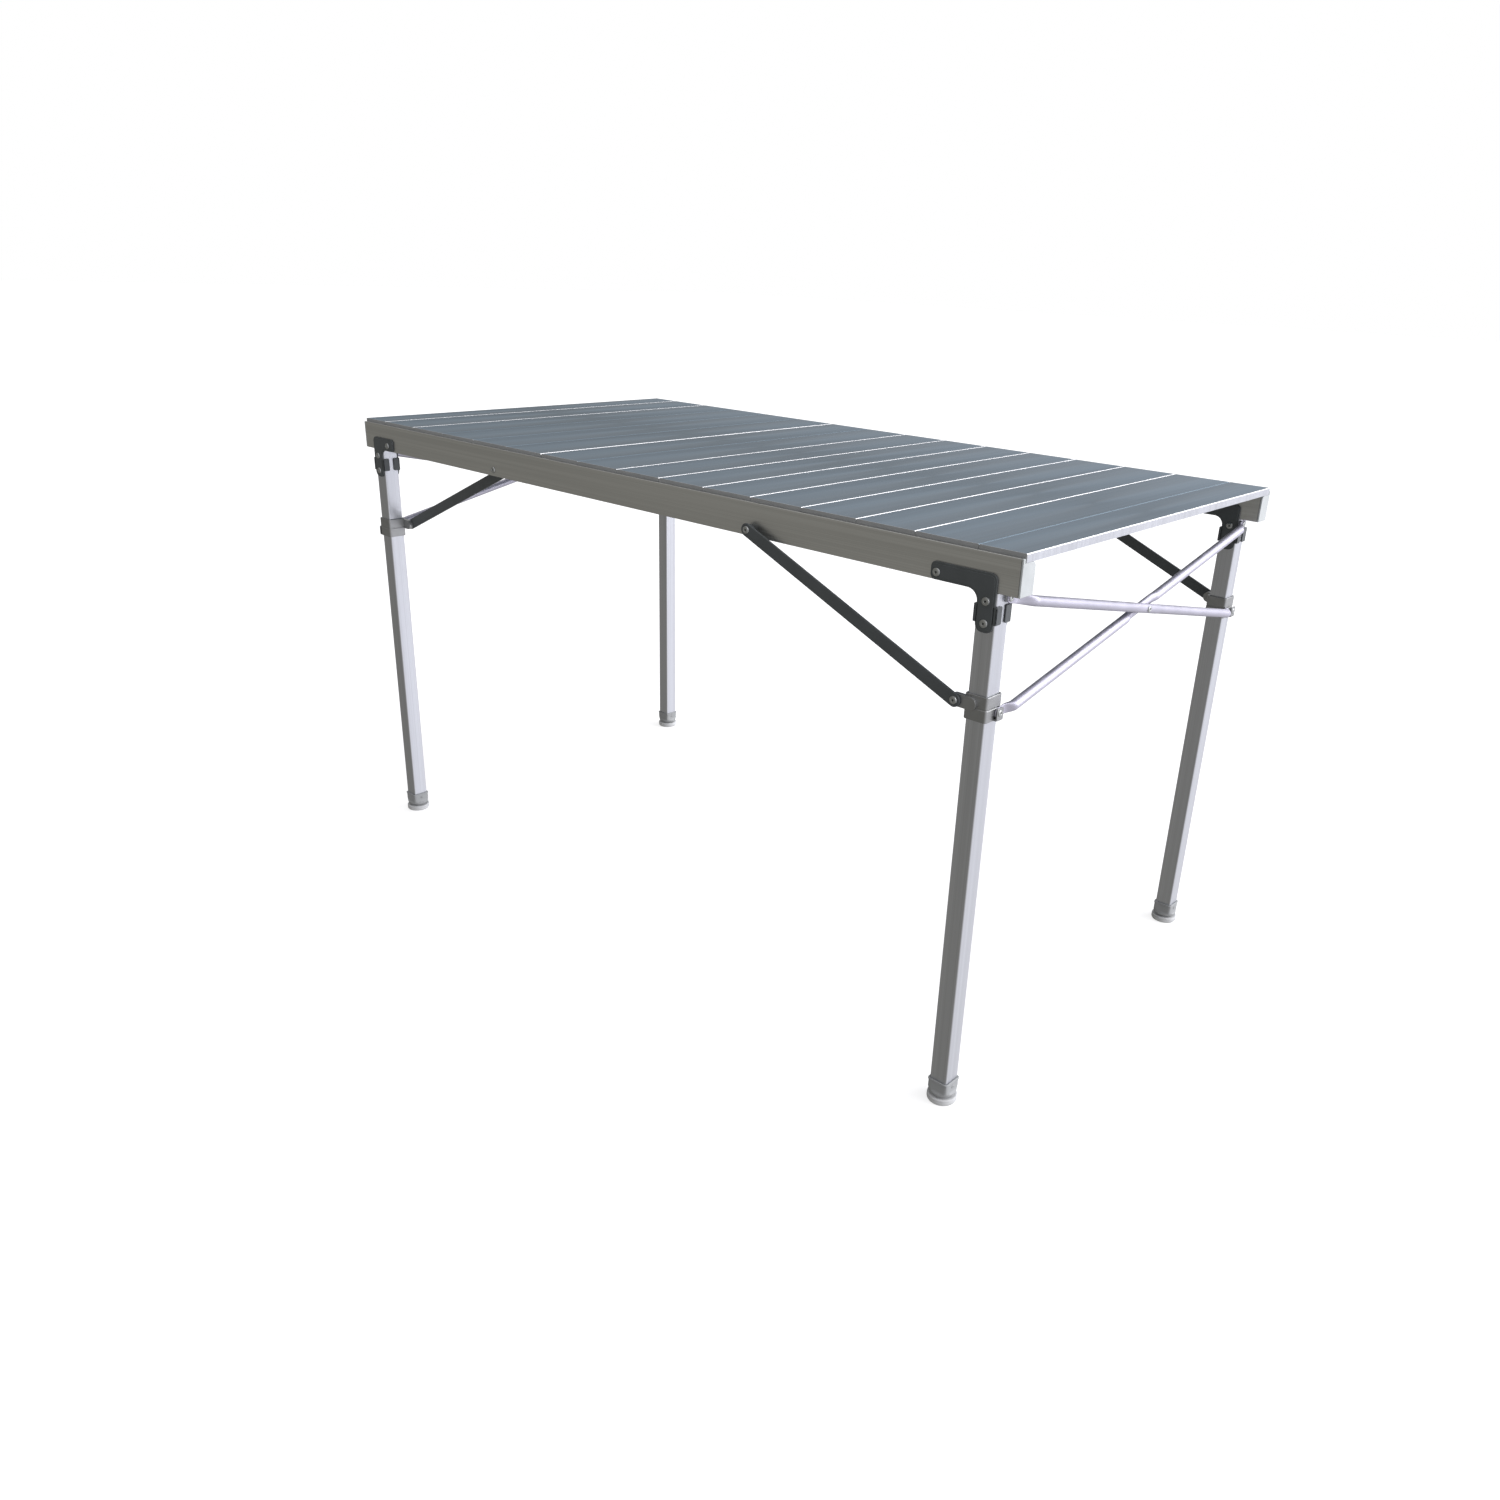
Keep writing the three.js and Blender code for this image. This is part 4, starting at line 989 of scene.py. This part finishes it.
def make_collar(side_name, end_name):
    key = f"{side_name}_{end_name}"
    node = "collar_" + key
    low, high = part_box(node)
    middle = leg_middle(side_name, end_name)
    leg_half = half_leg(side_name, end_name)
    bore = leg_half + COLLAR_GAP
    outer = bore + COLLAR_WALL
    outline = rectangle(middle.x - outer, middle.x + outer, middle.y - outer, middle.y + outer, COLLAR_CORNER)
    hole = rectangle(middle.x - bore, middle.x + bore, middle.y - bore, middle.y + bore)
    shapes = [extrusion(outline, collar_levels(low.z, high.z), "xyz", [hole])]
    shapes += collar_lug(side_name, end_name, middle, leg_half)
    shapes += collar_ear(side_name, end_name, middle, leg_half, low)
    finishes = ["grey_anodised_casting", "mandrel_and_dimple_shade", "zinc_plated_steel"]
    add_piece(node + "_casting", node, shapes, finishes, [node])


def collar_lug(side_name, end_name, middle, leg_half):
    """The plate beside the leg that carries the foot of the brace."""
    foot = brace_ends(side_name, end_name)[1]
    outward = SIDES[side_name] * BRACE_FACE[end_name]
    near = middle.y + outward * (leg_half + LUG_GAP)
    far = middle.y + outward * (leg_half + sizes().brace_standoff - LUG_GAP)
    root = Vector((middle.x - ENDS[end_name] * (leg_half - LUG_RADIUS), foot.y))
    return [plate(stadium(root, foot, LUG_RADIUS), near, far, "xzy", sizes().plate_edge / 2)]


def collar_ear(side_name, end_name, middle, leg_half, low):
    """The ear outside the leg's end face, its web, and the rivets that hold the crossed tube."""
    end = ENDS[end_name]
    side = SIDES[side_name]
    face = middle.x + end * leg_half
    pivot = PIVOTS[f"{end_name}_{side_name}_collar_pivot"]
    collar_face = COLLAR_GAP + COLLAR_WALL
    ear_near = face + end * (collar_face + TAB_THICKNESS + 2 * COLLAR_GAP)
    ear_far = ear_near + end * EAR_PLATE
    ear = sorted((middle.y + end * EAR_START, middle.y + end * (EAR_START + EAR_WIDTH)))
    ear_top = pivot.z + EAR_ABOVE_PIVOT
    plate_edge = sizes().plate_edge / 2
    shapes = [
        plate(rectangle(*ear, low.z, ear_top, 2 * MM), ear_near, ear_far, "yzx", plate_edge),
        plate(
            rectangle(*ear, low.z, low.z + EAR_WEB),
            face + end * collar_face / 2,
            ear_near + end * EAR_PLATE / 2,
            "yzx",
        ),
    ]
    ear_pivot_y = middle.y + end * abs(pivot.y - middle.y)
    pins = [(ear_far, ear_pivot_y)]
    if abs(ear_pivot_y - pivot.y) > MM:
        pins.append((ear_near, side * abs(pivot.y)))
    for pin_face, y in pins:
        place = Vector((pin_face, y, pivot.z))
        reach = abs(pin_face - face) - COLLAR_GAP
        heads = rivet(place, AXIS["x"] * end, sizes().pin_head, sizes().pin_height, PIN_SHANK, reach, 1)
        shapes += [(points, faces, 2 if kind == 0 else 1) for points, faces, kind in heads]
    return shapes


class CAMPING_OT_collars(bpy.types.Operator):
    """Makes the braces and the collars that slide on the legs"""

    bl_idname = "camping_table.collars"
    bl_label = "Braces and collars"

    def execute(self, context):
        for side_name in SIDES:
            for end_name in ENDS:
                make_brace(side_name, end_name)
                make_collar(side_name, end_name)
        return {"FINISHED"}


# --- Crossed tubes ------------------------------------------------------------------------------------

TUBE_STEPS = 40
END_FLAT = 9 * MM
INNER_TAPER = 14 * MM
OUTER_TAPER = 24 * MM
DENT_REACH = 28 * MM
DENT_TAPER = 12 * MM
TUBE_SPACING = 6.3 * MM
TUBE_GAP = 0.3 * MM
FLAT_SQUARENESS = 0.35
WASHER_EDGE = 0.2 * MM


def smooth_step(value):
    t = min(1.0, max(0.0, value))
    return t * t * (3 - 2 * t)


def mixed(a, b, share):
    return a + (b - a) * share


def tube_stations(whole):
    """Distances along the tube at which a section is drawn, closer together where it changes."""
    radius = sizes().tube_diameter / 2
    ends = [-radius * math.cos(math.pi / 2 * step / 8) for step in range(1, 8)]
    near = [END_FLAT + OUTER_TAPER * step / 10 for step in range(11)]
    dent = [whole / 2 - DENT_REACH - DENT_TAPER + (DENT_TAPER * step / 5) for step in range(6)]
    half = [*ends, 0.0, *near, *dent]
    return half + [whole - distance for distance in reversed(half)]


def tube_ring(start, along, out, distance, whole, shift, taper, dent_side):
    radius = sizes().tube_diameter / 2
    from_pivot = min(distance, whole - distance)
    rounding = smooth_step((from_pivot - END_FLAT) / taper)
    middle = mixed(shift, 0, rounding)
    half = mixed(TAB_THICKNESS / 2, radius, rounding)
    pressed = 1 - smooth_step((abs(distance - whole / 2) - DENT_REACH) / DENT_TAPER)
    dent = (radius - (TUBE_SPACING - TUBE_GAP) / 2) * pressed
    width = math.sqrt(max(radius**2 - from_pivot**2, 0)) if from_pivot < 0 else radius
    low = middle - half + (dent if dent_side < 0 else 0)
    high = middle + half - (dent if dent_side > 0 else 0)
    square = mixed(FLAT_SQUARENESS, 1, rounding)
    across = along.cross(AXIS["x"])
    ring = []
    for step in range(TUBE_STEPS):
        angle = math.tau * step / TUBE_STEPS
        c, s = math.cos(angle), math.sin(angle)
        w = width * math.copysign(abs(c) ** square, c)
        t = (low + high) / 2 + (high - low) / 2 * math.copysign(abs(s) ** square, s)
        ring.append(start + along * distance + across * w + out * t)
    return ring


def make_cross_tube(end_name, name):
    """A tube from a pivot high on one leg down to the other leg's collar, flat at both ends."""
    end = ENDS[end_name]
    node = f"cross_tube_{end_name}_{name}"
    face = leg_middle("front", end_name).x + end * half_leg("front", end_name)
    crossing = PIVOTS[f"{end_name}_tube_crossing"]
    upper = PIVOTS[f"{end_name}_tube_top_pivot"]
    rises_to = -1 if (name == "inner") == (end_name == "left") else 1
    start = Vector((0, rises_to * abs(upper.y), upper.z))
    foot = Vector((0, -start.y, 2 * crossing.z - upper.z))
    radius = sizes().tube_diameter / 2
    collar_face = COLLAR_GAP + COLLAR_WALL
    out_of_leg = collar_face + TUBE_GAP + radius + (TUBE_SPACING if name == "outer" else 0)
    tab_middle = collar_face + COLLAR_GAP + TAB_THICKNESS / 2
    taper, dent_side = (OUTER_TAPER, -1) if name == "outer" else (INNER_TAPER, 1)
    start.x = foot.x = face + end * out_of_leg
    whole = (foot - start).length
    along = (foot - start).normalized()
    rings = [
        tube_ring(start, along, AXIS["x"] * end, distance, whole, tab_middle - out_of_leg, taper, dent_side)
        for distance in tube_stations(whole)
    ]
    points, faces, kind = skinned(rings)
    faces += [tuple(range(TUBE_STEPS)), tuple(range(len(points) - TUBE_STEPS, len(points)))]
    add_piece(node + "_tube", node, [(points, faces, kind)], ["drawn_aluminium_tube"], [node])


def make_cross_rivet(end_name):
    node = "cross_rivet_" + end_name
    low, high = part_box(node)
    middle = (low + high) / 2
    height = sizes().pin_height
    shapes = []
    for face, way in ((high.x - height, 1), (low.x + height, -1)):
        place = Vector((face, middle.y, middle.z))
        shapes += rivet(place, AXIS["x"] * way, sizes().pin_head, height, PIN_SHANK, (high.x - low.x) / 2)
    add_piece(node + "_head", f"cross_tube_{end_name}_inner", shapes, RIVET_FINISHES, [node])


def make_tube_pin(side_name, end_name):
    """The pin on the leg's end face that carries a crossed tube's upper end."""
    key = f"{side_name}_{end_name}"
    end = ENDS[end_name]
    face = leg_middle(side_name, end_name).x + end * half_leg(side_name, end_name)
    upper = PIVOTS[f"{end_name}_tube_top_pivot"]
    collar_face = COLLAR_GAP + COLLAR_WALL
    tab_far = collar_face + 2 * COLLAR_GAP + TAB_THICKNESS
    pivot = Vector((face, SIDES[side_name] * abs(upper.y), upper.z))
    radius = sizes().pin_head / 2
    washer = [
        (0, 0),
        (radius, 0),
        (radius, collar_face - WASHER_EDGE),
        (radius - WASHER_EDGE, collar_face),
        (0, collar_face),
    ]
    shapes = [turned(washer, pivot, AXIS["x"] * end)]
    place = pivot + AXIS["x"] * end * tab_far
    shapes += rivet(place, AXIS["x"] * end, sizes().pin_head, sizes().pin_height, PIN_SHANK, tab_far)
    add_piece("tube_pin_" + key, "leg_" + key, shapes, RIVET_FINISHES)


class CAMPING_OT_cross_tubes(bpy.types.Operator):
    """Makes the crossed tubes at both ends, with their rivets and pins"""

    bl_idname = "camping_table.cross_tubes"
    bl_label = "Crossed tubes"

    def execute(self, context):
        for end_name in ENDS:
            for name in ("inner", "outer"):
                make_cross_tube(end_name, name)
            make_cross_rivet(end_name)
            for side_name in SIDES:
                make_tube_pin(side_name, end_name)
        return {"FINISHED"}


# --- Stage --------------------------------------------------------------------------------------------

CAMERA_PLACE = Vector((1.2290, -1.3595, 0.9584))
CAMERA_TURN = (40.62, -22.29, -2.41)  # yaw, pitch and roll in degrees
CAMERA_LENS = 28.25  # mm on the 36 mm sensor
CAMERA_SHIFT = -0.032
FLOOR_SIZE = 60.0
FLOOR_GLOW = 0.7
STUDIO_EDGE = 0.75  # the light fades between this cosine to the bright side and its negative
BRIGHT_SIDE = Vector((0.72, 0.5, 0.48))  # where the studio's soft light comes from
STUDIO_DARK = 0.24
STUDIO_BRIGHT = 1.08
DARK_TINT = "#FBF9F1"
BRIGHT_TINT = "#F7F7FF"
KEY_STRENGTH = 2.4
KEY_SOFTNESS = math.radians(60)


def make_camera():
    data = bpy.data.cameras.new("Camera")
    data.lens = CAMERA_LENS
    data.shift_x = CAMERA_SHIFT
    camera = bpy.data.objects.new("Camera", data)
    yaw, pitch, roll = (math.radians(angle) for angle in CAMERA_TURN)
    turn = Matrix.Rotation(yaw, 4, "Z") @ Matrix.Rotation(pitch, 4, "X") @ Matrix.Rotation(roll, 4, "Y")
    level = Matrix.Rotation(math.pi / 2, 4, "X")
    camera.matrix_world = Matrix.Translation(CAMERA_PLACE) @ turn @ level
    bpy.context.scene.collection.objects.link(camera)
    bpy.context.scene.camera = camera


def make_floor():
    """A pale floor that glows a little, so that shadows on it stay faint. It throws no light back."""
    half = FLOOR_SIZE / 2
    mesh = bpy.data.meshes.new("floor")
    corners = [(-half, -half, 0), (half, -half, 0), (half, half, 0), (-half, half, 0)]
    mesh.from_pydata(corners, [], [(0, 1, 2, 3)])
    material = new_finish("matt_studio_floor")
    tree = material.node_tree
    inputs = {
        "Base Color": colours().floor,
        "Roughness": 0.9,
        "Emission Color": (1, 1, 1, 1),
        "Emission Strength": FLOOR_GLOW,
    }
    shader = add_node(tree, "ShaderNodeBsdfPrincipled", inputs)
    add_node(tree, "ShaderNodeOutputMaterial", {"Surface": shader.outputs["BSDF"]})
    mesh.materials.append(material)
    floor = bpy.data.objects.new("floor", mesh)
    bpy.context.scene.collection.objects.link(floor)
    floor.visible_diffuse = False
    floor.visible_glossy = False
    floor.visible_shadow = False


def make_studio():
    """Soft light that is brightest over the table's far right corner, and a white background."""
    world = bpy.data.worlds.new("Studio")
    bpy.context.scene.world = world
    world.use_nodes = True
    tree = world.node_tree
    tree.nodes.clear()
    way = add_node(tree, "ShaderNodeTexCoord").outputs["Generated"]
    facing = add_node(
        tree, "ShaderNodeVectorMath", {0: way, 1: BRIGHT_SIDE.normalized()}, operation="DOT_PRODUCT"
    )
    span = {"Value": facing.outputs["Value"], "From Min": -STUDIO_EDGE, "From Max": STUDIO_EDGE}
    light = add_node(
        tree,
        "ShaderNodeMapRange",
        {**span, "To Min": STUDIO_DARK, "To Max": STUDIO_BRIGHT},
        interpolation_type="SMOOTHSTEP",
    )
    share = add_node(tree, "ShaderNodeMapRange", span)
    tint = add_node(
        tree,
        "ShaderNodeMix",
        {"Factor": share.outputs["Result"], 6: linear(DARK_TINT), 7: linear(BRIGHT_TINT)},
        data_type="RGBA",
    )
    glow = {"Color": tint.outputs[2], "Strength": light.outputs["Result"]}
    soft = add_node(tree, "ShaderNodeBackground", glow)
    white = add_node(tree, "ShaderNodeBackground", {"Color": (1, 1, 1, 1), "Strength": 1.0})
    seen = add_node(tree, "ShaderNodeLightPath").outputs["Is Camera Ray"]
    both = add_node(tree, "ShaderNodeMixShader", {0: seen, 1: soft.outputs[0], 2: white.outputs[0]})
    add_node(tree, "ShaderNodeOutputWorld", {"Surface": both.outputs[0]})


def make_key_light():
    data = bpy.data.lights.new("Key", "SUN")
    data.energy = KEY_STRENGTH
    data.angle = KEY_SOFTNESS
    key = bpy.data.objects.new("Key", data)
    key.rotation_euler = BRIGHT_SIDE.to_track_quat("Z", "Y").to_euler()
    bpy.context.scene.collection.objects.link(key)


class CAMPING_OT_stage(bpy.types.Operator):
    """Sets the camera, the floor and the light"""

    bl_idname = "camping_table.stage"
    bl_label = "Stage"

    def execute(self, context):
        context.scene.view_settings.view_transform = "Standard"
        make_camera()
        make_floor()
        make_studio()
        make_key_light()
        return {"FINISHED"}


# --- Add-on -------------------------------------------------------------------------------------------

OPERATORS = (
    CAMPING_OT_stage,
    CAMPING_OT_slat_top,
    CAMPING_OT_rails,
    CAMPING_OT_legs,
    CAMPING_OT_brackets,
    CAMPING_OT_collars,
    CAMPING_OT_cross_tubes,
)


class CAMPING_PT_table(bpy.types.Panel):
    """Lists the table's pieces and their settings"""

    bl_idname = "CAMPING_PT_table"
    bl_label = "Camping table"
    bl_space_type = "VIEW_3D"
    bl_region_type = "UI"
    bl_category = "Camping table"

    def draw(self, context):
        for operator in OPERATORS:
            self.layout.operator(operator.bl_idname)
        for group in (context.scene.camping_table_sizes, context.scene.camping_table_colours):
            box = self.layout.box()
            for name in type(group).__annotations__:
                box.prop(group, name)


CLASSES = (CampingTableSizes, CampingTableColours, *OPERATORS, CAMPING_PT_table)


def register():
    for item in CLASSES:
        bpy.utils.register_class(item)
    bpy.types.Scene.camping_table_sizes = bpy.props.PointerProperty(type=CampingTableSizes)
    bpy.types.Scene.camping_table_colours = bpy.props.PointerProperty(type=CampingTableColours)


def unregister():
    del bpy.types.Scene.camping_table_colours
    del bpy.types.Scene.camping_table_sizes
    for item in reversed(CLASSES):
        bpy.utils.unregister_class(item)


def main():
    register()
    bpy.ops.camping_table.stage()
    bpy.ops.camping_table.slat_top()
    bpy.ops.camping_table.rails()
    bpy.ops.camping_table.legs()
    bpy.ops.camping_table.brackets()
    bpy.ops.camping_table.collars()
    bpy.ops.camping_table.cross_tubes()


if __name__ == "__main__":
    main()
